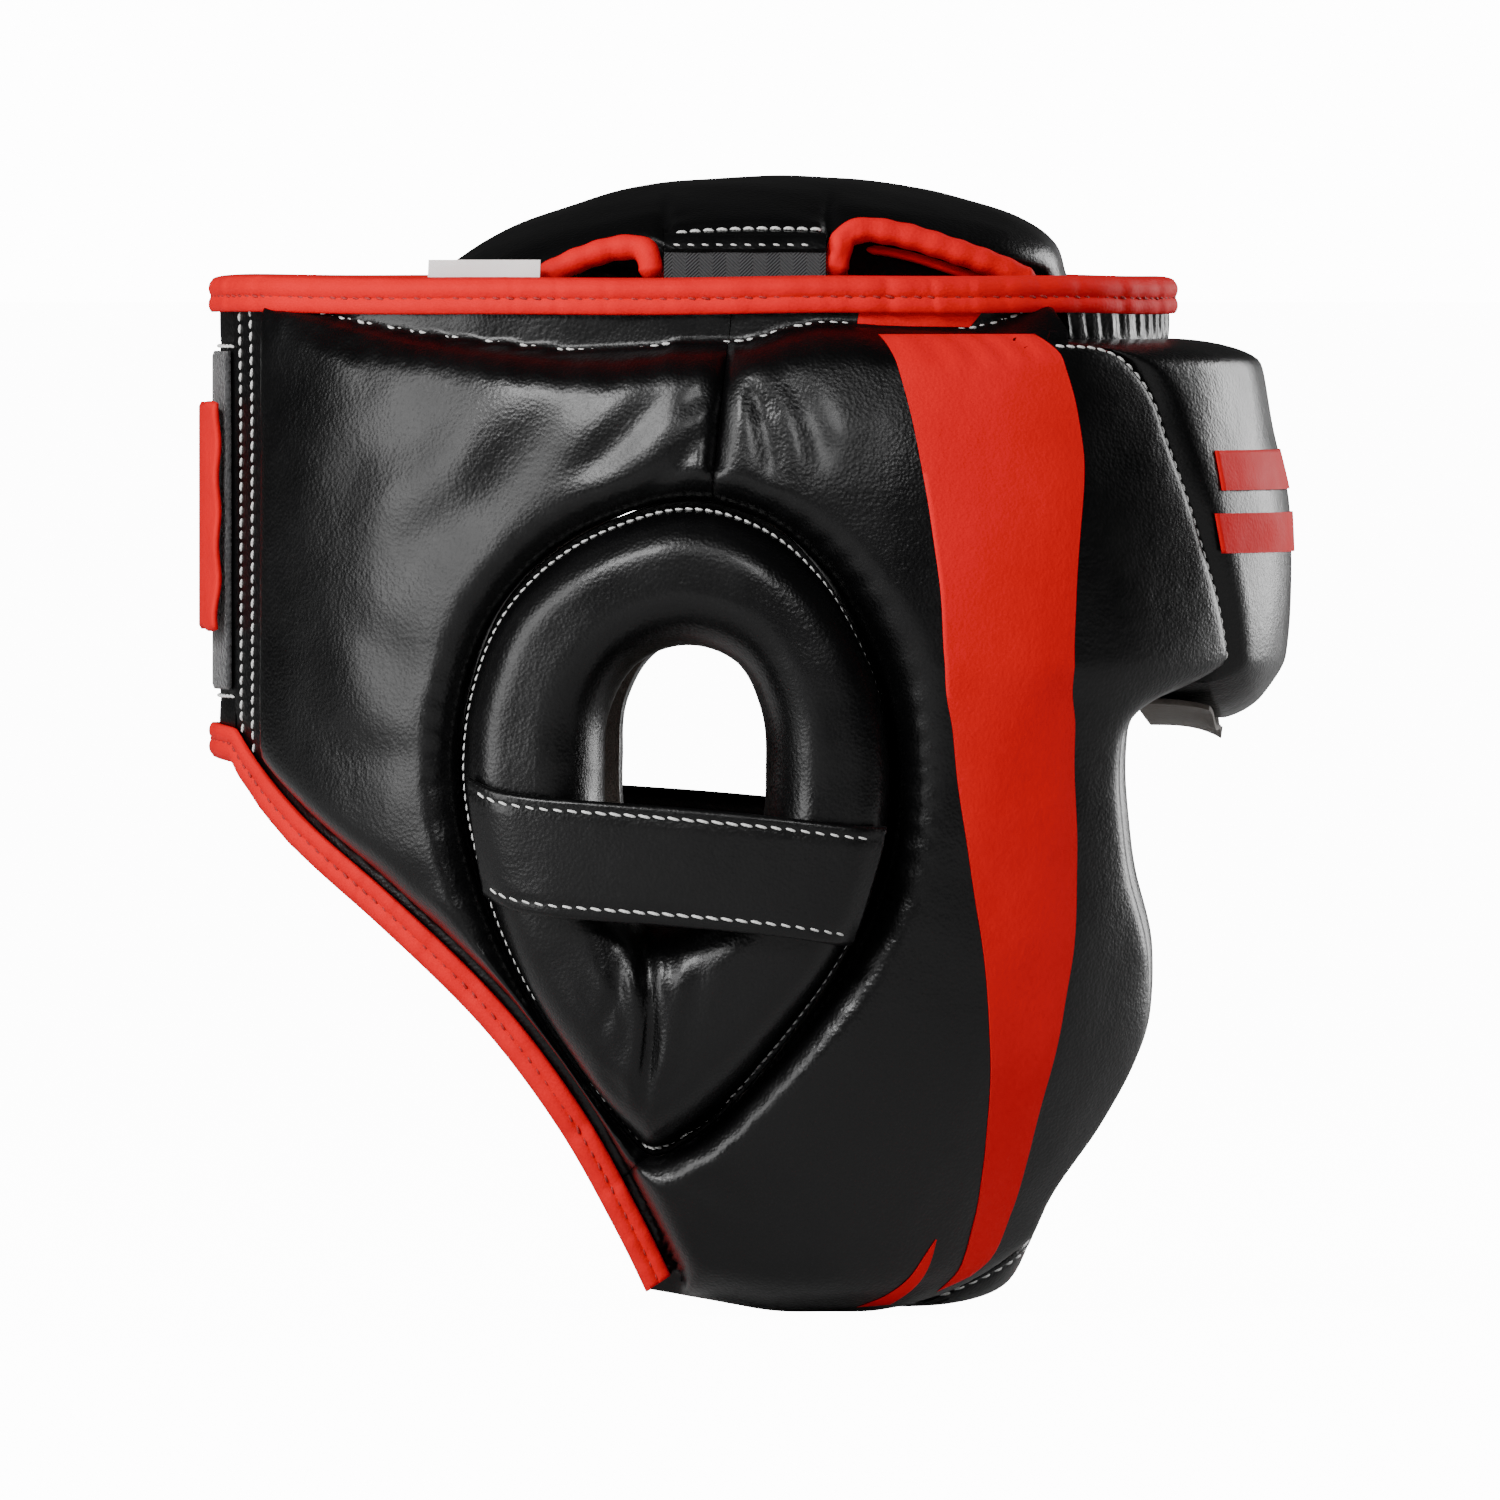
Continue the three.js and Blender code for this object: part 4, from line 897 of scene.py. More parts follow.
    def __post_init__(self) -> None:
        """Turns the drawn outlines into dense chart paths, and pairs edge points with ring points."""
        chart = self.form.chart
        self.centre = chart([(-12, 130)])[0]
        self.radii = [self.polar(self.ring), self.polar(self.hole)]
        self.paths = {}
        ends, nodes = [], []
        for stretch in self.stretches:
            straight = stretch.name.startswith(("rim", "band", "rear"))
            drawn = chart(stretch.points)
            count = max(int(run_along(drawn)[-1] / 1.6), 8)
            path = evenly(drawn, count) if straight else spline(drawn, count)
            self.paths[stretch.name] = path
            ends.append(len(nodes))
            nodes.extend(evenly(path, stretch.cells + 1)[:-1])
        self.first = dict(zip((p.name for p in self.stretches), ends))
        nodes = np.array(nodes)
        raw = np.unwrap(np.arctan2(nodes[:, 1] - self.centre[1], nodes[:, 0] - self.centre[0]))
        tip = chart([(-21.5, 38)])[0] - self.centre
        self.tip = self.first["neck"] + 1
        held = {self.tip: np.arctan2(tip[1], tip[0]), self.first["brow_under"]: np.pi * 0.085}
        held = {k: a + 2 * np.pi * np.round((raw[k] - a) / (2 * np.pi)) for k, a in held.items()}
        angles = raw.copy()
        smoothings = 6
        for _ in range(smoothings):
            after = np.append(angles[1:], angles[0] - 2 * np.pi)
            evened = (np.concatenate([[angles[0]], angles[:-1]]) + 2 * angles + after) / 4
            evened[0] = angles[0]
            for k, a in held.items():
                evened[k] = a
            angles = evened
        self.pairing = np.append(angles, angles[0] - 2 * np.pi)
        self.outline = np.vstack([p[:-1] for p in self.paths.values()])
        self.ring_path = self.around(0, np.linspace(0, 2 * np.pi, 260))
        self.row = spline(chart(self.quilt_row), 400)
        self.rear_edge = float(self.paths["rear"][0, 0])
        self.dart_path = spline(chart(self.dart), 30)
        root = self.around(0, self.pairing[self.tip:self.tip + 1])
        self.tip_path = evenly(np.vstack([root, self.edge(np.array([self.tip]))]), 30)

    def polar(self, points: Sequence[Sequence[float]]) -> tuple[Array, Array]:
        """A closed outline as radius against angle round the ear, on a dense table.

        The points are taken round three times, a smooth curve runs through them, and the middle turn is kept.
        """
        p = self.form.chart(points) - self.centre
        angle, radius = np.arctan2(p[:, 1], p[:, 0]), np.linalg.norm(p, axis=1)
        order = np.argsort(angle)
        a = np.concatenate([angle[order] + 2 * np.pi * k for k in (-1, 0, 1)])
        r = np.tile(radius[order], 3)
        slope = np.gradient(r, a)
        at = np.linspace(-np.pi, np.pi, 721)
        k = np.searchsorted(a, at) - 1
        h = a[k + 1] - a[k]
        return at, cubic((at - a[k]) / h, r[k], r[k + 1], h * slope[k], h * slope[k + 1])

    def around(self, which: int, angle: Array) -> Array:
        """Chart points on the ring's seam (0) or the ear hole (1) at angles round the ear."""
        table = self.radii[which]
        turned = (angle + np.pi) % (2 * np.pi) - np.pi
        radius = np.interp(turned, table[0], table[1])
        return self.centre + radius[..., None] * np.stack([np.cos(angle), np.sin(angle)], -1)

    def edge(self, u: Array) -> Array:
        """Chart points on the outer edge; u counts lines, and each stretch spans its own number of them."""
        result = np.empty((*u.shape, 2))
        total = len(self.pairing) - 1
        wrapped = np.mod(u, total)
        for stretch in self.stretches:
            start = self.first[stretch.name]
            inside = (wrapped >= start - 1e-9) & (wrapped <= start + stretch.cells + 1e-9)
            path = self.paths[stretch.name]
            f = (wrapped[inside] - start) / stretch.cells * (len(path) - 1)
            for k in (0, 1):
                result[inside, k] = np.interp(f, np.arange(len(path)), path[:, k])
        return result

    def lines(self, u: Array, v: Array) -> tuple[Array, Array]:
        """Chart grid: line u runs straight from the ear ring's seam (v is 0) to the outer edge (v is 1)."""
        total = len(self.pairing) - 1
        turns = np.floor(u / total)
        angle = np.interp(u - turns * total, np.arange(total + 1), self.pairing)
        inner, outer = self.around(0, angle), self.edge(u)
        grid = inner[:, None] + (outer - inner)[:, None] * v[None, :, None]
        return grid[..., 0], grid[..., 1]

    def height(self, s: Array, z: Array) -> Array:
        """Height of the panel's leather: the soft minimum of what each edge and seam allows."""
        full = self.form.thickness(s, z) - 0.2
        ring, along = distance_to(self.ring_path, s, z)
        t = 8.2 + (full - 8.2) * quarter_round((ring + 0.3) / 13)
        pucker = 0.5 + 0.5 * np.cos(along / 1.15 + 2 * np.sin(along / 9))
        t = t - 0.35 * pucker * bell(ring - 3.5, 3)
        row = np.interp(s, self.row[:, 0], self.row[:, 1])
        below = row - z
        gather = 0.5 + 0.5 * np.sin(s / 1.3 + 2.2 * np.sin(s / 11))
        rim = self.border + (full - self.border) * quarter_round(below / 13)
        rim = rim - 0.7 * gather * bell(below - 4, 4) * (below > 0)
        rear = s - self.rear_edge - 19
        flat = self.border + 0.25 * soft_noise(s, z, 16, 5)
        t = soft_minimum(t, np.where(below > 0, rim, flat), 1.6)
        t = soft_minimum(t, self.border + (full - self.border) * quarter_round(rear / 9), 1.2)
        neck, _ = distance_to(self.paths["neck"], s, z)
        t = soft_minimum(t, self.border + (full - self.border) * quarter_round((neck - 10.4) / 11), 1.6)
        seam, _ = distance_to(np.vstack([self.paths["band_seam"], self.paths["forehead_seam"]]), s, z)
        t = np.where(z < 233, soft_minimum(t, full - 6.5 + 6.5 * quarter_round(seam / 8), 1.0), t)
        for name, low, corner in (("face_edge", 4.0, 17.0), ("jaw", 5.0, 14.0), ("brow_under", 5.0, 11.0)):
            gap, _ = distance_to(self.paths[name], s, z)
            t = soft_minimum(t, low + (full - low) * quarter_round(gap / corner), 2.0)
        dart, _ = distance_to(self.dart_path, s, z)
        t = t - 3.0 * bell(dart, 1.9, 1.5) * smooth_step(below / 5)
        tip, _ = distance_to(self.tip_path, s, z)
        t = t - 1.4 * bell(tip, 1.5, 1.5) * smooth_step((t - 5) / 3)
        soft = smooth_step((t - self.border - 0.6) / 6)
        t = t - crease_depth(self.form, self.creases, s, z) * soft
        return np.maximum(t + 0.22 * soft * soft_noise(s, z, 26, 11), 3.8)

    def ring_height(self, s: Array, z: Array, f: Array, gap: Array) -> Array:
        """Height of the ear ring's roll: a flat sewn lip at the seam, then a full round down into the hole.

        Args:
            s: chart positions.
            z: heights.
            f: fraction of the way from the hole to the seam.
            gap: distance to the seam.

        Returns:
            Height of the leather.
        """
        full = self.form.thickness(s, z) + 2.9
        lip = 8.4 + (full - 8.4) * quarter_round(np.maximum(gap - 1.8, 0) / 12.5) ** 0.85
        return soft_minimum(lip, 3 + (full - 3) * quarter_round(f / 0.42), 1.5)


# ---------------------------------------------------------------- stitches
@dataclass(frozen=True)
class StitchRow:
    """A row of lockstitches: short rounded bars of thread that dive into the leather at both ends."""

    pitch: float = 2.6
    length: float = 2.05
    radius: float = 0.4
    slant: float = 0.16

    RINGS = 5
    CORNERS = 6

    def sections(self, path: Array, up: Array) -> Array:
        """Sections of every stitch along a path.

        Each bar is five rings of six corners whose size follows a rounded profile, lifted by a parabola.

        Args:
            path: points on the leather.
            up: direction off the leather at each.

        Returns:
            Points indexed [stitch, ring, corner, xyz].
        """
        run = run_along(path)
        at = np.arange(self.pitch / 2, run[-1] - self.pitch / 3, self.pitch)

        def sample(rows: Array, where: Array) -> Array:
            """Rows interpolated at lengths along the path."""
            return np.stack([np.interp(where, run, rows[:, k]) for k in range(3)], -1)

        ahead = unit(sample(path, at + 0.6) - sample(path, at - 0.6))
        lift = sample(up, at)
        lift = unit(lift - (lift * ahead).sum(1, keepdims=True) * ahead)
        side = np.cross(ahead, lift)
        q = np.array([-1, -0.62, 0, 0.62, 1.0])
        size = np.array([0.45, 0.92, 1.0, 0.92, 0.45]) * self.radius
        rise = 0.3 * (1 - q**2) - 0.28
        reach = (q * self.length / 2)[None, :, None] * (ahead + self.slant * side)[:, None]
        centre = sample(path, at)[:, None] + reach + rise[None, :, None] * lift[:, None]
        a = np.linspace(0, 2 * np.pi, self.CORNERS, endpoint=False)
        ring = np.cos(a)[:, None] * side[:, None, None] + np.sin(a)[:, None] * lift[:, None, None]
        return centre[:, :, None] + size[None, :, None, None] * ring

    def build(self, name: str, rows: Sequence[tuple[Array, Array]]) -> Piece:
        """One object with the stitches of several rows.

        Args:
            name: object name.
            rows: a path and its upward directions for each row.

        Returns:
            The object.
        """
        points = np.concatenate([self.sections(path, up) for path, up in rows])
        count = len(points)
        first = np.arange(self.RINGS - 1)[:, None] * self.CORNERS
        after = first + self.CORNERS
        k = np.arange(self.CORNERS)[None, :]
        on = (k + 1) % self.CORNERS
        one = np.stack([first + k, first + on, after + on, after + k], -1).reshape(-1, 4)
        caps = np.array([[3, 2, 1, 0], [5, 4, 3, 0], [24, 25, 26, 27], [24, 27, 28, 29]])
        one = np.concatenate([one, caps])
        shift = np.arange(count) * self.RINGS * self.CORNERS
        quads = (one[None] + shift[:, None, None]).reshape(-1, 4)
        return make_object(name, points.reshape(-1, 3), quads, sharp=FINE_TURN)


def chart_row(form: HeadForm, path: Array, t: Array, side: int) -> tuple[Array, Array]:
    """A stitch row's points and upward directions from a chart path and its heights."""
    points = form.place(path[:, 0], path[:, 1], t, side)
    return points, form.place(path[:, 0], path[:, 1], t + 4, side) - points


def sew(
    wardrobe: Wardrobe,
    name: str,
    stitch: StitchRow,
    rows: Sequence[tuple[Array, Array]],
    thread: Finish = Finish.WHITE_THREAD,
    body: str = "shell",
) -> None:
    """Builds the stitches of several rows as one piece and dresses it in thread."""
    wardrobe.dress(stitch.build(name, rows), thread, body=body)


# ---------------------------------------------------------------- sub-assemblies
@dataclass
class SidePads:
    """The cheek pad and the wing of both sides, their suede linings, the stitching and the printed stripe."""

    plan: SidePlan
    lines_per_cell: int = 12
    across: int = 50
    stripe_back: tuple[tuple[float, float], ...] = (
        (36.4, 233.4), (38.5, 227), (42.4, 212), (45.7, 195), (48.8, 174.5), (50.2, 153), (52, 138),
        (54.6, 116), (57.8, 95.3), (59.9, 80), (60.7, 64), (60.4, 50), (58.7, 34.3), (56.6, 22.3),
        (53.6, 11), (50.6, 4.9),
    )
    stripe_front: tuple[tuple[float, float], ...] = (
        (74.6, 233.4), (78.4, 226), (81.2, 215.5), (82.9, 205.2), (82.3, 190), (81.2, 170.4), (80.7, 153),
        (80.8, 139.7), (81.2, 112), (80.4, 88), (77.9, 72), (73.8, 54), (69.5, 37.4), (65.4, 24), (61, 13),
        (57.6, 8.6),
    )
    stub_back: tuple[tuple[float, float], ...] = ((30.8, 239.6), (31.8, 235.4))
    stub_front: tuple[tuple[float, float], ...] = ((62.3, 239.4), (62.4, 235.0))
    spike_back: tuple[tuple[float, float], ...] = ((47.4, 17.8), (42, 9.7), (37, 4.6), (31, 1.4))
    spike_front: tuple[tuple[float, float], ...] = ((47.5, 17.7), (45.9, 12), (43.2, 6.4), (39.4, 2.0))

    def build(self, wardrobe: Wardrobe) -> None:
        """Builds and dresses every piece of both side panels."""
        plan, form = self.plan, self.plan.form
        total = len(plan.pairing) - 1
        v = crowded(self.across)
        for name, start, end in (("cheek", 0, plan.tip), ("wing", plan.tip, total)):
            u = np.linspace(start + 0.004, end - 0.004, (end - start) * self.lines_per_cell + 1)
            s, z = plan.lines(u, v)
            t = plan.height(s, z)
            ends = np.minimum(np.arange(len(u)), np.arange(len(u))[::-1])[:, None]
            t = np.maximum(t - 0.9 * np.clip(1 - ends / 2, 0, 1), 3.6)
            inner = np.clip(v, 0.012, 0.985)
            sb, zb = plan.lines(u, inner)
            for side, word in SIDES:
                base = form.place(sb, zb, PAD_BASE, side)
                pad = slab(f"{name}_pad_{word}", form.place(s, z, t, side), base)
                grid_uv(pad, np.stack([s, sb]), np.stack([z, zb]))
                wardrobe.dress(pad, Finish.BLACK, stands_for=(f"{name}_cover_{word}", f"{name}_foam_{word}"))
                coarse_s, coarse_z = plan.lines(u[::3], np.clip(crowded(20), 0.01, 0.99))
                quilt = 0.18 * soft_noise(coarse_s, coarse_z, 14, 3)
                top = form.place(coarse_s, coarse_z, SUEDE_TOP, side)
                suede = slab(f"{name}_suede_{word}", top, form.place(coarse_s, coarse_z, 0.15 + quilt, side))
                wardrobe.dress(suede, Finish.LINING, stands_for=(f"{name}_lining_{word}",))
        for side, word in SIDES:
            self.stripe(wardrobe, side, word)
            self.stitching(wardrobe, side, word)

    def band(self, back: Array, front: Array, columns: int, side: int, name: str) -> Piece:
        """A thin printed band on the leather between two chart paths with as many points each."""
        form = self.plan.form
        f = np.linspace(0, 1, columns)[None, :, None]
        grid = back[:, None] * (1 - f) + front[:, None] * f
        s, z = grid[..., 0], grid[..., 1]
        t = self.plan.height(s, z)
        sunk = 0.3
        return slab(name, form.place(s, z, t + sunk, side), form.place(s, z, t - sunk, side), sharp=FINE_TURN)

    def stripe(self, wardrobe: Wardrobe, side: int, word: str) -> None:
        """The long red stripe down the cheek, its stub above the stitches, and the jaw's spike."""
        chart = self.plan.form.chart
        for name, back, front, rows, columns in (
            ("stripe", self.stripe_back, self.stripe_front, 190, 36),
            ("stripe_stub", self.stub_back, self.stub_front, 8, 26),
            ("jaw_spike", self.spike_back, self.spike_front, 30, 8),
        ):
            edges = [spline(chart(points), rows) for points in (back, front)]
            wardrobe.dress(self.band(*edges, columns, side, f"{name}_{word}"), Finish.RED)

    def stitching(self, wardrobe: Wardrobe, side: int, word: str) -> None:
        """White rows along the quilted border and the forehead seam, and two down the rear border."""
        plan, form = self.plan, self.plan.form
        on_border = (plan.row[:, 0] > plan.rear_edge + 19) & (plan.row[:, 1] < 239.6)
        paths = [plan.row[on_border] + [0, 0.4]]
        seam = plan.paths["forehead_seam"]
        way = unit(np.gradient(seam, axis=0))
        paths.append(seam[:-4] + 1.5 * np.stack([way[:, 1], -way[:, 0]], 1)[:-4])
        heights = np.linspace(129, 240, 120)
        for gap in (4.2, 10.6):
            s = np.full_like(heights, plan.rear_edge + gap)
            neck, _ = distance_to(plan.paths["neck"], s, heights)
            paths.append(np.stack([s, heights], 1)[neck > 6.5])
        rows = []
        for path in map(self.densely, paths):
            rows.append(chart_row(form, path, plan.height(path[:, 0], path[:, 1]) + 0.05, side))
        sew(wardrobe, f"panel_stitches_{word}", StitchRow(pitch=2.9, length=2.3), rows)

    @staticmethod
    def densely(path: Array) -> Array:
        """A path sampled every half millimetre or so."""
        return evenly(path, max(int(run_along(path)[-1] * 2), 8))


@dataclass
class EarRings:
    """The padded rings round the ears, with their wrinkled feet, suede, stitching and straps."""

    plan: SidePlan
    strap_line: tuple[tuple[float, float, float], ...] = (
        (-62, 128.6, -58.6), (-55, 125.6, -52), (-46, 124, -44), (-33, 123, -33), (-13, 121.5, -13),
        (8, 119.5, 8), (20, 118, 18), (28, 117, 23.5), (35, 116.9, 28),
    )
    strap_width: float = 28.4
    strap_thickness: float = 2.4
    stand_off: float = 1.9
    creases: tuple[Crease, ...] = (
        Crease((-23.5, 101), (-22.3, 44), 4.6, 2.3), Crease((-31, 92), (-24.5, 56), 1.9, 2.6),
        Crease((-16, 95), (-20, 58), 1.7, 2.6), Crease((-37, 84), (-27, 52), 1.2, 3.0),
        Crease((-8, 90), (-16, 60), 0.9, 3.4), Crease((-27, 84), (-32, 66), 1.1, 2.0),
        Crease((-33, 60), (-24, 50), 1.0, 2.0), Crease((-12, 62), (-20, 50), 0.9, 2.0),
    )

    def surface(self, u: Array, f: Array) -> tuple[Array, Array, Array]:
        """Chart grid and height of the ring: u is the angle round the ear, f runs from hole to seam."""
        plan = self.plan
        hole, seam = plan.around(1, u), plan.around(0, u)
        grid = hole[:, None] + (seam - hole)[:, None] * f[None, :, None]
        s, z = grid[..., 0], grid[..., 1]
        gap, _ = distance_to(plan.ring_path, s, z)
        t = plan.ring_height(s, z, f[None, :] + 0 * s, gap)
        soft = smooth_step((t - 8) / 6)
        t = t - crease_depth(plan.form, self.creases, s, z) * (0.25 + 0.75 * soft)
        t = t + 0.15 * soft * soft_noise(s, z, 22, 21)
        return s, z, np.maximum(t, 4)

    def build(self, wardrobe: Wardrobe) -> None:
        """Builds and dresses both rings."""
        plan, form = self.plan, self.plan.form
        u = np.linspace(0, 2 * np.pi, 330, endpoint=False)
        f = crowded(44, 0.85)
        s, z, t = self.surface(u, f)
        t[:, -1] -= 0.7
        hole, seam = plan.around(1, u), plan.around(0, u)
        under = hole[:, None] + (seam - hole)[:, None] * np.clip(f, 0.035, 0.985)[None, :, None]
        sb, zb = under[..., 0], under[..., 1]
        for side, word in SIDES:
            base = form.place(sb, zb, PAD_BASE, side)
            pad = slab(f"ear_ring_{word}", form.place(s, z, t, side), base, ring=True)
            wardrobe.dress(pad, Finish.BLACK, stands_for=(f"ear_ring_cover_{word}", f"ear_ring_foam_{word}"))
            few_s, few_z = sb[::3, ::3], zb[::3, ::3]
            top = form.place(few_s, few_z, SUEDE_TOP, side)
            suede = slab(f"ear_ring_suede_{word}", top, form.place(few_s, few_z, 0.15, side), ring=True)
            wardrobe.dress(suede, Finish.LINING, stands_for=(f"ear_ring_lining_{word}",))
            around = np.linspace(-0.5 * np.pi - 0.35, 1.5 * np.pi - 0.6, 900)
            path = plan.around(0, around)
            path = path + 2.1 * unit(plan.centre - path)
            gap, _ = distance_to(plan.ring_path, path[:, 0], path[:, 1])
            height = plan.ring_height(path[:, 0], path[:, 1], np.full(len(path), 0.95), gap)
            stitch = StitchRow(pitch=2.4, length=1.9, radius=0.36)
            sew(wardrobe, f"ear_ring_stitches_{word}", stitch, [chart_row(form, path, height + 0.1, side)])
            self.strap(wardrobe, side, word)

    def strap(self, wardrobe: Wardrobe, side: int, word: str) -> None:
        """The flat strap across the ring, whose height follows the roll and runs smoothly along it."""
        plan, form = self.plan, self.plan.form
        line = np.array(self.strap_line)
        rows = []
        for share in (0.0, 0.5, 1.0):
            x = line[:, 0] + (line[:, 2] - line[:, 0]) * share
            p = form.chart(np.stack([x, line[:, 1] - self.strap_width * share], 1))
            away = p - plan.centre
            angle, gap = np.arctan2(away[:, 1], away[:, 0]), np.linalg.norm(away, axis=1)
            hole = np.linalg.norm(plan.around(1, angle) - plan.centre, axis=1)
            seam = np.linalg.norm(plan.around(0, angle) - plan.centre, axis=1)
            f = np.clip((gap - hole) / (seam - hole), 0.42, 1)
            full = form.thickness(p[:, 0], p[:, 1]) + 3
            roll = quarter_round(f / 0.34) * quarter_round((1 - f) / 0.5)
            t = 9 + (full - 9) * roll + self.stand_off + self.strap_thickness
            rows.append(spline(np.stack([p[:, 0], p[:, 1], t], 1), 130))
        low, mid, high = (np.array(rows)[k][:, None] for k in (2, 1, 0))

        def between(share: Array | float) -> Array:
            """The quadratic through the low, middle and high rows."""
            bowed = mid * 4 * share * (1 - share)
            return low * (1 - share) * (1 - 2 * share) + bowed + high * share * (2 * share - 1)

        share = np.linspace(0, 1, 25)[None, :, None]
        grid = between(share)
        wave = 0.35 * np.sin(np.linspace(0, 9, 130))[:, None] * (2 * share[..., 0] - 1) ** 2
        edge = np.minimum(share[..., 0], 1 - share[..., 0]) * self.strap_width
        round_off = 0.8 * (1 - quarter_round(edge / 1.4))
        seam_in = 2.8
        s, z, t = grid[..., 0], grid[..., 1], grid[..., 2] + wave - 0.5 * bell(edge - seam_in, 0.9)
        top = form.place(s, z, t - round_off, side)
        base = form.place(s, z, t - self.strap_thickness + round_off * 0.6, side)
        piece = slab(f"ear_guard_strap_{word}", top, base)
        wardrobe.dress(piece, Finish.BLACK, stands_for=(f"ear_strap_{word}",))
        stitches = []
        for at in (seam_in / self.strap_width, 1 - seam_in / self.strap_width):
            row = evenly(between(at)[4:-4, 0], 400)
            stitches.append(chart_row(form, row[:, :2], row[:, 2] - 0.25, side))
        sew(wardrobe, f"ear_strap_stitches_{word}", StitchRow(pitch=3.5, length=2.9, radius=0.36), stitches)


@dataclass
class Forehead:
    """The forehead pad, its suede lining and brow facing, the gathered band above, and two plain red bars."""

    plan: SidePlan
    brow: float = 141.0
    top: float = 232.0
    bars: tuple[tuple[float, float], ...] = ((196, 205.5), (181, 190.5))

    def grid(self, across: Array, up: Array) -> tuple[Array, Array]:
        """Chart grid between the two forehead seams; the lower edge hangs in a parabola at the middle.

        Args:
            across: 0 at the right seam, 1 at the left one.
            up: 0 at the brow, 1 at the band.

        Returns:
            s and z.
        """
        seam = self.plan.paths["forehead_seam"][::-1]
        run = np.linspace(0, 1, len(seam))
        s0, z0 = np.interp(up, run, seam[:, 0]), np.interp(up, run, seam[:, 1])
        s = s0[None] + (2 * self.plan.form.front - 2 * s0)[None] * across[:, None]
        bow = 1 - (2 * across - 1) ** 2
        z = z0[None] + (self.brow - z0[0]) * bow[:, None] * (1 - up[None]) ** 2
        return s, z

    def height(self, s: Array, z: Array, seam: Array, rise: Array) -> Array:
        """Height of the pad: full, rounded at the brow and the top, and dipped at both seams."""
        full = self.plan.form.thickness(s, z) + 0.2
        t = full - 6.5 + 6.5 * quarter_round(seam / 9)
        t = soft_minimum(t, full - 11 + 11 * quarter_round((rise + 0.4) / 9), 1.5)
        t = soft_minimum(t, 4.4 + (full - 4.4) * quarter_round((self.top - z) / 7.5), 1.5)
        return t + 0.12 * soft_noise(s, z, 24, 31) * smooth_step(seam / 12)

    def build(self, wardrobe: Wardrobe) -> None:
        """Builds and dresses the forehead pieces."""
        form = self.plan.form
        across, up = crowded(150, 0.5), crowded(84, 0.8)
        s, z = self.grid(across, up)
        length = 2 * (form.front - s[0, :])
        seam = np.minimum(across, 1 - across)[:, None] * length[None]
        t = self.height(s, z, seam, z - z[:, :1])
        sb, zb = self.grid(np.clip(across, 0.012, 0.988), np.clip(up, 0.012, 0.985))
        pad = slab("forehead_pad", form.place(s, z, t), form.place(sb, zb, PAD_BASE))
        wardrobe.dress(pad, Finish.BLACK, stands_for=("forehead_cover", "forehead_foam"))
        few_s, few_z = sb[::3, ::3], zb[::3, ::3]
        suede = slab("forehead_suede", form.place(few_s, few_z, SUEDE_TOP), form.place(few_s, few_z, 0.1))
        wardrobe.dress(suede, Finish.LINING, stands_for=("forehead_lining",))
        self.facing(wardrobe)
        self.band(wardrobe)
        for count, (low, high) in enumerate(self.bars, 1):
            heights = np.linspace(low, high, 12)
            edge = form.chart(np.stack([113.2 + 0.18 * (high - heights), heights], 1))[:, 0]
            f = np.linspace(0, 1, 90)[:, None]
            bar_s = edge[None] + (2 * form.front - 2 * edge)[None] * f
            bar_z = np.broadcast_to(heights[None], bar_s.shape)
            skin = form.thickness(bar_s, bar_z) + 0.2
            top, base = form.place(bar_s, bar_z, skin + 0.12), form.place(bar_s, bar_z, skin - 0.5)
            wardrobe.dress(slab(f"forehead_bar_{count}", top, base, sharp=FINE_TURN), Finish.RED)

    def facing(self, wardrobe: Wardrobe) -> None:
        """The brown-grey suede under the brow, whose loose front edge hangs a few millimetres and ripples."""
        form = self.plan.form
        across = np.linspace(0.1, 0.9, 70)
        s, z = self.grid(across, np.array([0.0]))
        depth = np.linspace(0, 1, 16)[None]
        full = form.thickness(s, z)
        t = 1.9 + (full - 9.5) * depth
        ripple = 0.75 + 0.25 * np.sin(across * 31)[:, None]
        drop = 0.7 + 3.2 * depth**3 * ripple * np.sin(np.pi * across)[:, None] ** 0.3
        s = np.broadcast_to(s, t.shape)
        piece = slab("brow_suede", form.place(s, z - drop, t), form.place(s, z - drop - 1.1, t))
        wardrobe.dress(piece, Finish.LINING, stands_for=("brow_facing",))

    def band(self, wardrobe: Wardrobe) -> None:
        """The band between the pad and the rim binding, gathered into upright folds by its stitches."""
        form = self.plan.form
        z = np.linspace(self.top - 0.6, 245.2, 26)
        s0 = form.chart([(80, 245.6)])[0, 0] + 0.4
        s = np.linspace(s0, 2 * form.front - s0, 420)[:, None] + 0 * z
        z = z[None] + 0 * s
        fold = np.sin(s / 1.05 + 1.6 * np.sin(s / 7.5)) * 0.36 + 0.1 * np.sin(s / 0.47)
        t = 4.4 + 0.75 * fold * np.sin(np.pi * np.clip((z - self.top) / 9, 0, 1)) ** 0.6
        piece = slab("forehead_gathers", form.place(s, z, t), form.place(s, z, 0.3))
        wardrobe.dress(piece, Finish.BLACK, stands_for=("forehead_band",))


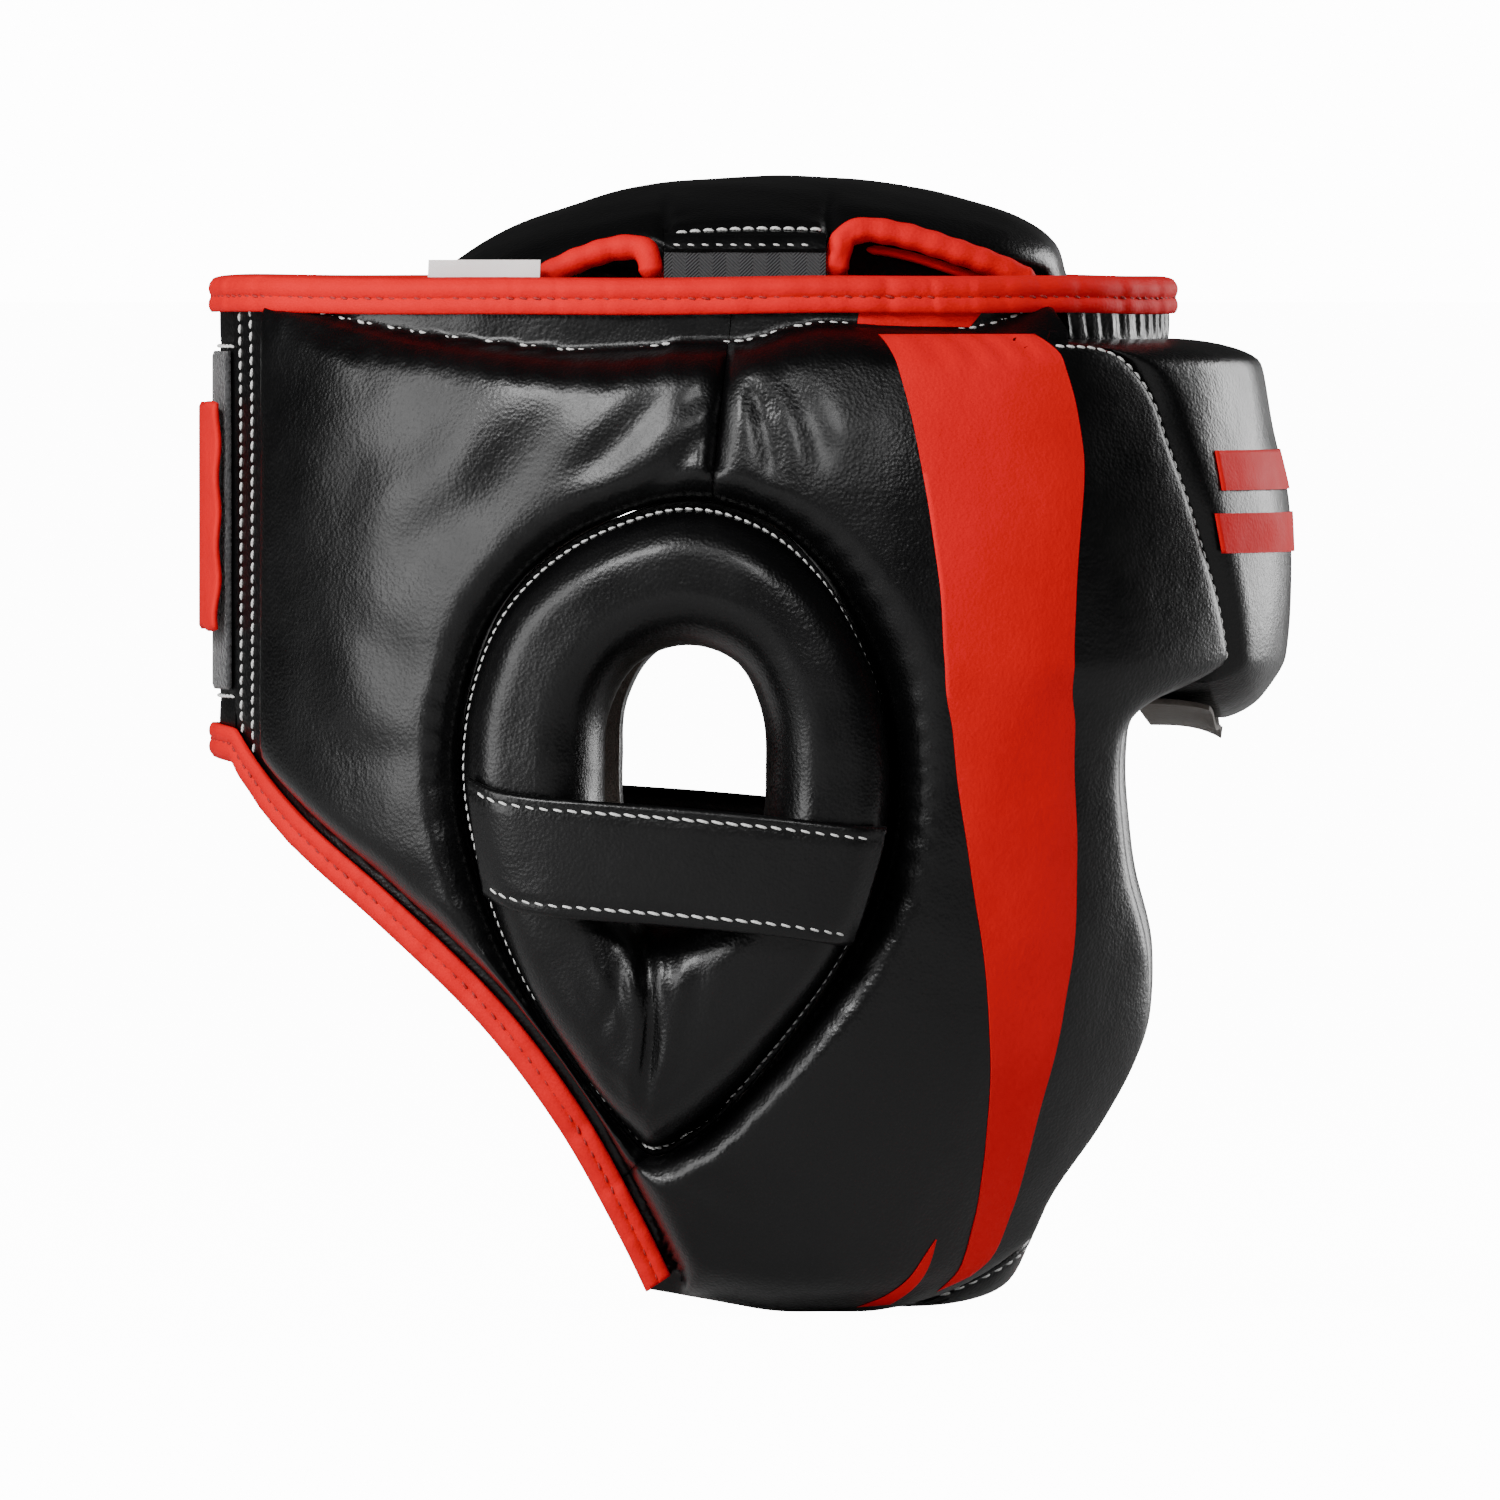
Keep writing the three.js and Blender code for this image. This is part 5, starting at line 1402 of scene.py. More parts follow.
@dataclass
class Bindings:
    """Red leather folded over the rim and the neck edge: two soft rolls either side of a stitched groove."""

    plan: SidePlan
    wall: float = 1.4
    play: float = 0.5
    width: float = 8.8

    def section(self) -> tuple[Array, Array]:
        """The folded section: outward reach a and height t, with both rolls as half sine waves."""
        low, high = -self.play, self.plan.border + self.play
        depth = -(self.width - self.wall)
        q = np.linspace(0, 1, 25)
        roll = 0.75 * np.abs(np.sin(2 * np.pi * q)) ** 0.7 - 0.25
        a_face = 0.2 + (depth - 0.2) * q
        turn = np.linspace(-0.5, 0.5, 9)[1:-1] * np.pi
        mid, half = (low + high) / 2, (high - low) / 2 + self.wall - 0.25
        a = np.concatenate([a_face, [depth, 0.3, 0.3, depth], a_face[::-1], 0.2 + 1.25 * np.cos(turn)])
        outer, inner = high + self.wall + roll, low - self.wall - 0.4 * roll[::-1]
        t = np.concatenate([outer, [high, high, low, low], inner, mid + half * np.sin(turn)])
        return a, t

    def carry(self, name: str, path: Array, out: Array, loop: bool) -> Piece:
        """Carries the section along a chart path; out is the chart direction off the edge at each point."""
        a, t = self.section()
        run = run_along(path)
        pinch = np.clip(np.sin(run / 2.3 + 3 * np.sin(run / 19)), 0, 1) ** 4
        pinch = pinch * (0.4 + 0.6 * np.sin(run / 27) ** 2)
        ripple = 0.13 * np.sin(run / 1.9 + 2 * np.sin(run / 17)) + 0.16 * np.sin(run / 7.1) - 0.32 * pinch
        s = path[:, :1] + out[:, :1] * a[None]
        z = path[:, 1:] + out[:, 1:] * a[None]
        height = t[None] + ripple[:, None] * (t[None] > self.plan.border + 1)
        return swept(name, self.plan.form.place(s, z, height), loop)

    def build(self, wardrobe: Wardrobe) -> None:
        """Builds and dresses both bindings and their red stitches."""
        form, plan = self.plan.form, self.plan
        s = np.linspace(form.rear, 2 * form.front - form.rear, 900, endpoint=False)
        rim = np.stack([s, plan.rim_top + 0.25 * np.sin(s / 33) + 0.12 * np.sin(s / 12)], 1)
        up = np.tile([0.0, 1.0], (len(rim), 1))
        piece = self.carry("rim_roll", rim, up, True)
        wardrobe.dress(piece, Finish.RED, stands_for=("rim_binding",))
        right = plan.paths["neck"]
        f = np.linspace(0, 1, 34)[1:-1]
        start, end = right[-1, 0], 2 * form.rear - right[-1, 0]
        rear = np.stack([start + (end - start) * f, right[-1, 1] + 0.9 * (1 - (2 * f - 1) ** 2)], 1)
        left = np.stack([2 * form.rear - right[::-1, 0], right[::-1, 1]], 1)
        neck = evenly(np.vstack([right, rear, left]), 620)
        way = np.gradient(neck, axis=0)
        way = unit(np.stack([smoothed(way[:, k], 15) for k in (0, 1)], 1))
        out = np.stack([-way[:, 1], way[:, 0]], 1)
        piece = self.carry("neck_roll", neck, out, False)
        wardrobe.dress(piece, Finish.RED, stands_for=("neck_binding",))
        groove = 0.2 - (self.width - self.wall + 0.2) / 2
        high = plan.border + self.play + self.wall - 0.2
        rows = []
        for path, off in ((rim, up), (neck, out)):
            seam = path + off * groove
            rows.append(chart_row(form, seam, np.full(len(seam), high), RIGHT))
        stitch = StitchRow(pitch=3.4, length=2.3, radius=0.36, slant=0.25)
        sew(wardrobe, "binding_stitches", stitch, rows, Finish.RED_THREAD)


@dataclass
class Crown:
    """The cross-shaped crown pad, its suede, the red cords of its cut-outs, and the webbing that carries it.

    Stations give x, the height above the rim and the body's half-width from the forehead over the top to
    the rear. Sideways the pad falls as a parabola. The arms widen it between arm_rear and arm_front.
    """

    plan: SidePlan
    rim: float = 247.4
    stations: tuple[tuple[float, float, float], ...] = (
        (94, -38, 13), (92, -27, 17), (86, -16, 22), (79.5, -6.5, 27), (77, 0.3, 30), (74.6, 7.5, 34),
        (66, 13.9, 42), (48, 19.7, 49), (28, 23.0, 52.6), (22, 23.5, 53), (1, 23.8, 53.4), (-20, 22.2, 53),
        (-39, 17.8, 53), (-58, 10.7, 52), (-70, 3.4, 48), (-82, -5, 41), (-94, -13.5, 33), (-105, -23, 25),
        (-113, -33, 18), (-117.5, -45, 13),
    )
    arm_front: float = 20.5
    arm_rear: float = -18.0
    arm_reach: float = 60.6
    thickness: float = 9.5
    fall: float = 11.8 / 58**2

    def frame(self, count: int = 300) -> tuple[Array, Array, Array, Array]:
        """Centre line points, the downward normal and the body's half-width, dense along the pad."""
        path = spline(self.stations, count)
        way = unit(np.gradient(path[:, :2], axis=0))
        normal = np.stack([way[:, 1], -way[:, 0]], 1)
        return path[:, 0], path[:, 1] + self.rim, normal, path[:, 2]

    def point(self, x: Array, z: Array, normal: Array, y: Array, depth: Array) -> Array:
        """Points of the pad: y across, on the sideways parabola, and depth below its top."""
        height = z - self.fall * y**2 - normal[..., 1] * depth
        return np.stack(np.broadcast_arrays(x - normal[..., 0] * depth, y, height), -1)

    def build(self, wardrobe: Wardrobe) -> None:
        """Builds and dresses the crown."""
        x, z, normal, half = self.frame()
        arm = smooth_step((self.arm_front + 1.2 - x) / 2.4) * smooth_step((x - self.arm_rear + 1.2) / 2.4)
        arm = arm * (z > self.rim)
        reach = half + (self.arm_reach - half) * arm
        f = 2 * crowded(91, 0.8) - 1
        y = f[None] * reach[:, None]
        x2, z2 = x[:, None] + 0 * y, z[:, None] + 0 * y
        n2 = np.broadcast_to(normal[:, None], (*y.shape, 2))
        side_gap = reach[:, None] - np.abs(y)
        run = np.arange(len(x))[:, None] * 1.0
        end_gap = np.minimum(run, len(x) - 1 - run)
        puff = quarter_round(side_gap / 11) * quarter_round((end_gap + 0.5) / 10)
        dip = 4.2 * (1 - puff)
        for edge in (self.arm_front + 0.4, self.arm_rear - 0.4):
            dip += 1.6 * bell(x2 - edge, 1.5) * smooth_step((np.abs(y) - 26) / 24)
            outer = smooth_step((np.abs(y) - 40) / 10)
            dip += 0.35 * bell(x2 - edge, 5) * (1 + np.sin(y / 2.1)) * outer
        row = self.arm_reach - 4.3
        dip += 0.9 * bell(np.abs(y) - row, 1.1) * arm[:, None]
        dip += 0.25 * (1 + soft_noise(x2, y, 26, 41)) * puff
        top = self.point(x2, z2, n2, y, dip)
        inner_y = y * (1 - 0.9 / reach[:, None])
        skirt = 3.4 * smooth_step((9 - side_gap) / 7) * smooth_step((62 - np.abs(x2)) / 12)
        skirt = skirt * (1 - arm[:, None])
        base = self.point(x2, z2, n2, inner_y, self.thickness - 1.4 + skirt)
        pad = slab("crown_pad", top, base)
        wardrobe.dress(pad, Finish.BLACK, stands_for=("crown_cover", "crown_foam"))
        few = (slice(None, None, 3), slice(None, None, 3))
        coarse = (x2[few], z2[few], n2[few], inner_y[few])
        above = self.point(*coarse, self.thickness - 1.2 + 0 * dip[few])
        below = self.point(*coarse, self.thickness + 0.1 + 0.3 * puff[few])
        suede = slab("crown_suede", above, below)
        wardrobe.dress(suede, Finish.LINING, stands_for=("crown_lining",))
        for side, word in SIDES:
            self.arm(wardrobe, side, word)
            self.cords(wardrobe, side, word)

    def arm(self, wardrobe: Wardrobe, side: int, word: str) -> None:
        """White stitches on one arm, its leather tab and the webbing that drops inside the rim."""
        x, z, normal, _ = self.frame(900)
        on = (x < self.arm_front - 0.8) & (x > self.arm_rear + 0.8) & (z > self.rim)
        y = -side * (self.arm_reach - 4.3)
        path = self.point(x[on], z[on], normal[on], np.full(on.sum(), y), np.full(on.sum(), 1.6))
        up = np.tile([0.0, y * 0.008, 1.0], (len(path), 1))
        sew(wardrobe, f"crown_stitches_{word}", StitchRow(pitch=3.2, length=2.6, radius=0.42), [(path, up)])
        tab_line = ((0.4, 10.0), (1.9, 9.2), (3.3, 7.8), (4.4, 6.2))
        webbing_line = ((1.9, 7.6), (4.6, 2.6), (8.0, -4.6), (8.7, -15))
        for name, finish, drop, thick, stand_for in (
            ("arm_tab", Finish.BLACK, tab_line, 1.6, f"crown_tab_{word}"),
            ("arm_webbing", Finish.WEBBING, webbing_line, 1.4, f"crown_elastic_{word}"),
        ):
            line = spline(drop, 44)
            out, high = line[:, 0][None] + 60, line[:, 1][None] + self.rim
            along = np.linspace(self.arm_rear, self.arm_front, 60)[:, None]
            ripple = 0.25 * np.sin(along / 2.3) * (1 if finish is Finish.BLACK else 0.5)
            grid = np.stack(np.broadcast_arrays(along + 0 * out, out + ripple, high + 0 * along), -1)
            outward = surface_normals(grid)
            outward *= np.sign(outward[..., 1].mean())
            flip = np.array([1.0, -side, 1.0])
            piece = slab(f"{name}_{word}", grid * flip, (grid - outward * thick) * flip)
            run = np.broadcast_to(np.linspace(0, 22, 44)[None], (60, 44))
            grid_uv(piece, np.stack([np.broadcast_to(along, (60, 44))] * 2), np.stack([run] * 2))
            wardrobe.dress(piece, finish, stands_for=(stand_for,))
            if finish is Finish.BLACK:
                row = [(grid[2:-2, 34] * flip, outward[2:-2, 34] * flip)]
                sew(wardrobe, f"arm_tab_stitches_{word}", StitchRow(pitch=3.4, length=1.9, radius=0.3), row)

    def cords(self, wardrobe: Wardrobe, side: int, word: str) -> None:
        """The red bindings of the cut-outs beside an arm: rolls along the pad's edge and down the arm."""
        flip = np.array([1.0, -side, 1.0])
        for name, points in (
            ("front", (
                (22.6, 61.0, 246.5), (23.3, 60.6, 251.5), (24.6, 59.3, 255.9), (28.5, 57.4, 258.0),
                (38, 55.0, 257.0), (50, 52.6, 253.4), (61, 49, 249.4), (70, 45, 245.2),
            )),
            ("rear", (
                (-21.0, 61.0, 246.0), (-21.4, 60.5, 250.4), (-23, 58.6, 253.4), (-29, 57.0, 253.8),
                (-38, 56.8, 251.2), (-46, 56.6, 247.4), (-56, 56, 241.5), (-67, 53.6, 235.4),
            )),
        ):
            path = spline(points, 150)
            run = np.linspace(0, 1, 150)
            taper = np.sqrt(np.clip(np.minimum(run, 1 - run) * 22, 0, 1))
            radius = 2.75 * taper + 0.12 * np.sin(run * 60) + 0.3
            sections = tube_sections(path, radius, 18)
            centre = path[:, None]
            round_section = np.linspace(0, 2 * np.pi, 18, endpoint=False)
            groove = 1 - 0.16 * bell(round_section - np.pi * 1.1, 0.35)
            sections = centre + (sections - centre) * groove[None, :, None]
            piece = swept(f"crown_{name}_roll_{word}", sections * flip, sharp=FINE_TURN)
            wardrobe.dress(piece, Finish.RED, stands_for=(f"crown_{name}_piping_{word}",))
            self.gusset(wardrobe, name, path, flip, word)

    def gusset(self, wardrobe: Wardrobe, name: str, path: Array, flip: Array, word: str) -> None:
        """The black leather from under one roll to the inside of the rim, and its own thin red roll.

        Args:
            wardrobe: where the finishes are.
            name: front or rear.
            path: centre line of the roll above it.
            flip: signs that put it on its side of the head.
            word: the side's name.
        """
        over = path[28:]
        down = np.linspace(0, 1, 14)[None, :, None]
        foot = np.stack([over[:, 0], over[:, 1] - 5.5, np.full(len(over), 241.0)], 1)
        grid = (over - [0, 1.0, 0.6])[:, None] * (1 - down) + foot[:, None] * down
        ripple = 0.3 * np.sin(over[:, 0] / 2.1)[:, None] * down[..., 0]
        grid[..., 1] -= 1.6 * np.sin(np.pi * down[..., 0]) + ripple
        thick = np.array([0.0, 1.3, 0.0])
        gusset = slab(f"crown_{name}_gusset_{word}", grid * flip, (grid - thick) * flip)
        wardrobe.dress(gusset, Finish.BLACK)
        if name == "front":
            line = spline(over[12:-20:10] - [0, 3.4, 4.6], 90)
            run = np.linspace(0, 1, 90)
            radius = 1.15 * np.sqrt(np.clip(np.minimum(run, 1 - run) * 16, 0, 1)) + 0.1
            sections = tube_sections(line, radius, 12) * flip
            wardrobe.dress(swept(f"crown_inner_roll_{word}", sections, sharp=FINE_TURN), Finish.RED)


@dataclass
class RearClosure:
    """The rear panel, its loop field, the red strap off the left wing, and the hook patch under it."""

    plan: SidePlan
    panel: float = 4.2
    strap_low: float = 162.0
    strap_high: float = 217.0
    loop_low: float = 148.0
    loop_high: float = 229.0

    def sheet(self, name: str, s: Array, z: Array, low: Array, high: Array) -> Piece:
        """A closed sheet over the rear panel between two heights above the lining, with its edges rounded."""
        ss, zz = np.meshgrid(s, z, indexing="ij")
        ends = np.minimum(ss - ss.min(), ss.max() - ss)
        edge = np.minimum(ends, np.minimum(zz - zz.min(), zz.max() - zz))
        ease = 0.45 * (1 - quarter_round(edge / 0.8))
        place = self.plan.form.place
        piece = slab(name, place(ss, zz, high - ease), place(ss, zz, low + ease * 0.4))
        grid_uv(piece, np.stack([ss, ss]), np.stack([zz, zz]))
        return piece

    def build(self, wardrobe: Wardrobe) -> None:
        """Builds and dresses the closure."""
        form, plan = self.plan.form, self.plan
        right = plan.rear_edge
        left = 2 * form.rear - right
        s = np.linspace(left + 0.2, right - 0.2, 90)
        f = np.linspace(0, 1, 130)
        low = 133.4 - 0.4 * (1 - (2 * (s - left) / (right - left) - 1) ** 2) + 0.2
        z = low[:, None] + (245.4 - low[:, None]) * f[None]
        ss = s[:, None] + 0 * z
        seams = quarter_round(np.abs(z - 230.5) / 7) * quarter_round(np.abs(z - 146) / 7)
        puff = 0.5 * (seams - 1) - 0.1 * soft_noise(ss, z, 18, 51)
        piece = slab("rear_pad", form.place(ss, z, self.panel - 0.15 + puff), form.place(ss, z, 0.2))
        wardrobe.dress(piece, Finish.BLACK, stands_for=("rear_panel",))
        base = self.panel + 0.3
        loop_s = np.linspace(left + 7, right - 1.5, 50)
        loop_z = np.linspace(self.loop_low, self.loop_high, 70)
        piece = self.sheet("rear_loop_pile", loop_s, loop_z, base, base + 1.3)
        wardrobe.dress(piece, Finish.HOOK, stands_for=("rear_loop_field",))
        rows = []
        for height in (self.loop_low - 1.6, self.loop_high + 1.2):
            line = np.stack([np.linspace(left + 4, right - 0.6, 120), np.full(120, height)], 1)
            rows.append(chart_row(form, line, np.full(120, self.panel + 0.1), RIGHT))
        sew(wardrobe, "rear_panel_stitches", StitchRow(pitch=3.0, length=2.4), rows)
        hook = base + 1.7
        hook_s = np.linspace(form.rear, right - 5, 24)
        hook_z = np.linspace(self.strap_low + 4, self.strap_high - 4, 40)
        piece = self.sheet("rear_hooks", hook_s, hook_z, hook, hook + 0.8)
        wardrobe.dress(piece, Finish.HOOK, body="rear_strap", stands_for=("rear_hook_patch",))
        self.strap(wardrobe, left, right, hook + 1.1)

    def strap(self, wardrobe: Wardrobe, left: float, right: float, over: float) -> None:
        """One red sheet from its sewn root on the left wing, over the fold, to its loose wavy end."""
        form = self.plan.form
        fold = left - 1.5
        knots_s = [fold - 9, fold - 1.5, fold + 1, left + 3, form.rear, right - 2]
        knots_t = [4.6, 4.6, 5.0, over, over, over]
        s = np.linspace(fold - 9, right - 2, 110)
        under = smoothed(np.interp(s, knots_s, knots_t), 13)
        v = np.linspace(0, 1, 60)
        end = smooth_step((s - fold - 12) / 26)
        loose = 0.5 * np.sin(s / 3.2)[:, None] * (2 * v[None] - 1) * end[:, None]
        z = (self.strap_low + 0.4) + (self.strap_high - self.strap_low - 0.8) * v[None] + loose
        wave = 0.35 * np.sin(v * 21)[None] * smooth_step((s - right + 16) / 14)[:, None]
        flare = 0.7 * smooth_step((s - right + 12) / 12)[:, None] * smooth_step((0.22 - v) / 0.2)[None]
        t = under[:, None] + wave + flare + 0.1
        edge = np.minimum(np.minimum(v, 1 - v)[None] * 54, np.minimum(s - s[0], s[-1] - s)[:, None])
        ease = 0.5 * (1 - quarter_round(edge / 0.9))
        ss = s[:, None] + 0 * z
        top = form.place(ss, z, t + 1.6 - ease)
        piece = slab("rear_pull_strap", top, form.place(ss, z, t + ease * 0.3))
        wardrobe.dress(piece, Finish.RED, body=None, stands_for=("rear_strap", "rear_strap_root"))
        middle = (self.strap_low + self.strap_high) / 2
        start = form.place([fold - 2.2], [middle], [5.4])[0] * MM
        stop = form.place([fold + 3.5], [middle], [6.4])[0] * MM
        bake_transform(piece)
        rows = []
        for gap in (2.2, 5.2):
            heights = np.linspace(self.strap_low + 3, self.strap_high - 3, 90)
            line = np.stack([np.full(90, fold - 9 + gap), heights], 1)
            rows.append(chart_row(form, line, np.full(90, 6.25), RIGHT))
        stitch = StitchRow(pitch=3.0, length=2.3, radius=0.34)
        sew(wardrobe, "rear_strap_stitches", stitch, rows, Finish.RED_THREAD)


@dataclass
class ChinStrap:
    """The chin strap's two overlapping halves with hook and loop between them, and the sewn anchors.

    The outer face is a smooth surface through rows of points that run from the rear edge to the front one.
    """

    plan: SidePlan
    rows: tuple[tuple[tuple[float, float, float], ...], ...] = (
        ((28, 43.6, 1.1), (34.5, 40, 1.0), (41, 35.3, 1.3), (47, 30.3, 3.4)),
        ((32, 32, 0.8), (40.5, 30, 0.7), (49.5, 27.5, 2.4), (57.5, 24.5, 8)),
        ((37.5, 17, 0.8), (47, 16.5, 0.6), (59, 15.5, 4.2), (67.5, 14.5, 14.5)),
        ((40.5, 0, 0.8), (50, 0, 0.6), (62.5, 0, 5.2), (69.9, 0, 19)),
    )
    thickness: float = 2.4

    def surface(self, count: int = 121, across: int = 33) -> tuple[Array, Array]:
        """The outer face from the right jaw to the left, and its inward unit normals."""
        near = np.array(self.rows) * [1, -1, 1]
        net = np.concatenate([near, near[:-1][::-1] * [1, -1, 1]])
        columns = np.stack([spline(net[:, k], count) for k in range(4)], 1)
        grid = np.stack([spline(row, across) for row in columns], 0)
        normal = surface_normals(grid)
        normal[:4], normal[-4:] = normal[4:5], normal[-5:-4]
        return grid, normal * np.sign(normal[..., 2].mean())

    def layer(
        self,
        name: str,
        start: float,
        stop: float,
        depth: float,
        thick: float,
        inset: float = 0.0,
        steady: bool = False,
    ) -> tuple[Piece, Array, Array]:
        """A stretch of the strap between two fractions of its length, raised inwards by depth.

        Args:
            name: object name.
            start: where it begins, 0 at the right jaw.
            stop: where it ends, 1 at the left jaw.
            depth: height of its outer face above the strap's outer face.
            thick: its thickness.
            inset: how far its long edges stay in from the strap's.
            steady: no ripples.

        Returns:
            The object, its outer face and its inward normals.
        """
        grid, normal = self.surface()
        spans = len(grid) - 1
        rows = slice(round(start * spans), round(stop * spans) + 1)
        grid, normal = grid[rows], normal[rows]
        width = np.linalg.norm(grid[:, -1] - grid[:, 0], axis=1)[:, None]
        v = np.linspace(0, 1, grid.shape[1])[None]
        f = inset / width + v * (1 - 2 * inset / width)
        at = f * (grid.shape[1] - 1)
        k = np.minimum(at.astype(int), grid.shape[1] - 2)
        w = (at - k)[..., None]
        i = np.arange(len(grid))[:, None]
        face = grid[i, k] * (1 - w) + grid[i, k + 1] * w
        inward = normal[i, k]
        run = np.arange(len(grid))[:, None]
        edge = np.minimum(np.minimum(v, 1 - v) * width, np.minimum(run, len(grid) - 1 - run) * 0.95)
        ease = min(thick, 1.6) * 0.42 * (1 - quarter_round(edge / 1.1))
        groove = 0 if steady else 0.35 * bell(edge - 3, 0.9)
        outer = face + inward * (depth + ease + groove)[..., None]
        inner = face + inward * (depth + thick - ease * 0.6)[..., None]
        return slab(name, outer, inner), face + inward * depth, inward

    def build(self, wardrobe: Wardrobe) -> None:
        """Builds and dresses the chin strap and its anchors."""
        outer, face, inward = self.layer("chin_strap_outer", 0, 0.7, 0, self.thickness)
        wardrobe.dress(outer, Finish.BLACK, body="chin_strap", stands_for=("chin_strap_right",))
        inner, face_in, inward_in = self.layer("chin_strap_inner", 0.383, 1, 5.9, self.thickness, 3.4)
        wardrobe.dress(inner, Finish.BLACK, stands_for=("chin_strap_left",))
        hooks, _, _ = self.layer("chin_hooks", 0.417, 0.683, 3.0, 0.8, 2.0, True)
        wardrobe.dress(hooks, Finish.HOOK, body="chin_strap", stands_for=("chin_hook_patch",))
        loops, _, _ = self.layer("chin_loops", 0.4, 0.7, 4.4, 1.1, 3.0, True)
        wardrobe.dress(loops, Finish.HOOK, stands_for=("chin_loop_patch",))
        stitch = StitchRow(pitch=4.2, length=3.4, radius=0.42)
        for name, surface, up, body in (
            ("outer", face, -inward, "chin_strap"),
            ("inner", face_in, -inward_in, "shell"),
        ):
            width = surface.shape[1] - 1
            rows = [(surface[2:-2, k] + up[2:-2, k] * -0.25, up[2:-2, k]) for k in (3, width - 3)]
            sew(wardrobe, f"chin_stitches_{name}", stitch, rows, body=body)
        form = self.plan.form
        for side, word, low, high in ((RIGHT, "right", 4.4, 17.0), (LEFT, "left", 9.4, 21.0)):
            drawn = np.array([(29.0, low), (35.0, low), (41.0, low), (46.0, low)])
            s = spline(form.chart(drawn), 30)[:, 0][:, None]
            z = np.linspace(low, high, 20)[None] + 0 * s
            s = s + 0 * z
            piece = slab(f"chin_tab_{word}", form.place(s, z, -4.6, side), form.place(s, z, -2.2, side))
            wardrobe.dress(piece, Finish.BLACK, stands_for=(f"chin_anchor_{word}",))


@dataclass
class SizeLabel:
    """The blank white label at the inside of the rim, with a slight curl."""

    plan: SidePlan

    def build(self, wardrobe: Wardrobe) -> None:
        """Builds and dresses the label."""
        form = self.plan.form
        drawn = np.array([(-80.0, 240.0), (-66.0, 240.0), (-51.0, 240.0)])
        s = spline(form.chart(drawn), 50)[:, 0][:, None]
        z = np.linspace(236, 251, 26)[None] + 0 * s
        curl = 0.5 * np.sin((s - s.mean()) / 5) * smooth_step((z - 244) / 8)
        s = s + 0 * z
        piece = slab("blank_label", form.place(s, z, -4.7 - curl), form.place(s, z, -4.3 - curl))
        grid_uv(piece, np.stack([s, s]), np.stack([z, z]))
        wardrobe.dress(piece, Finish.LABEL, stands_for=("size_label",))


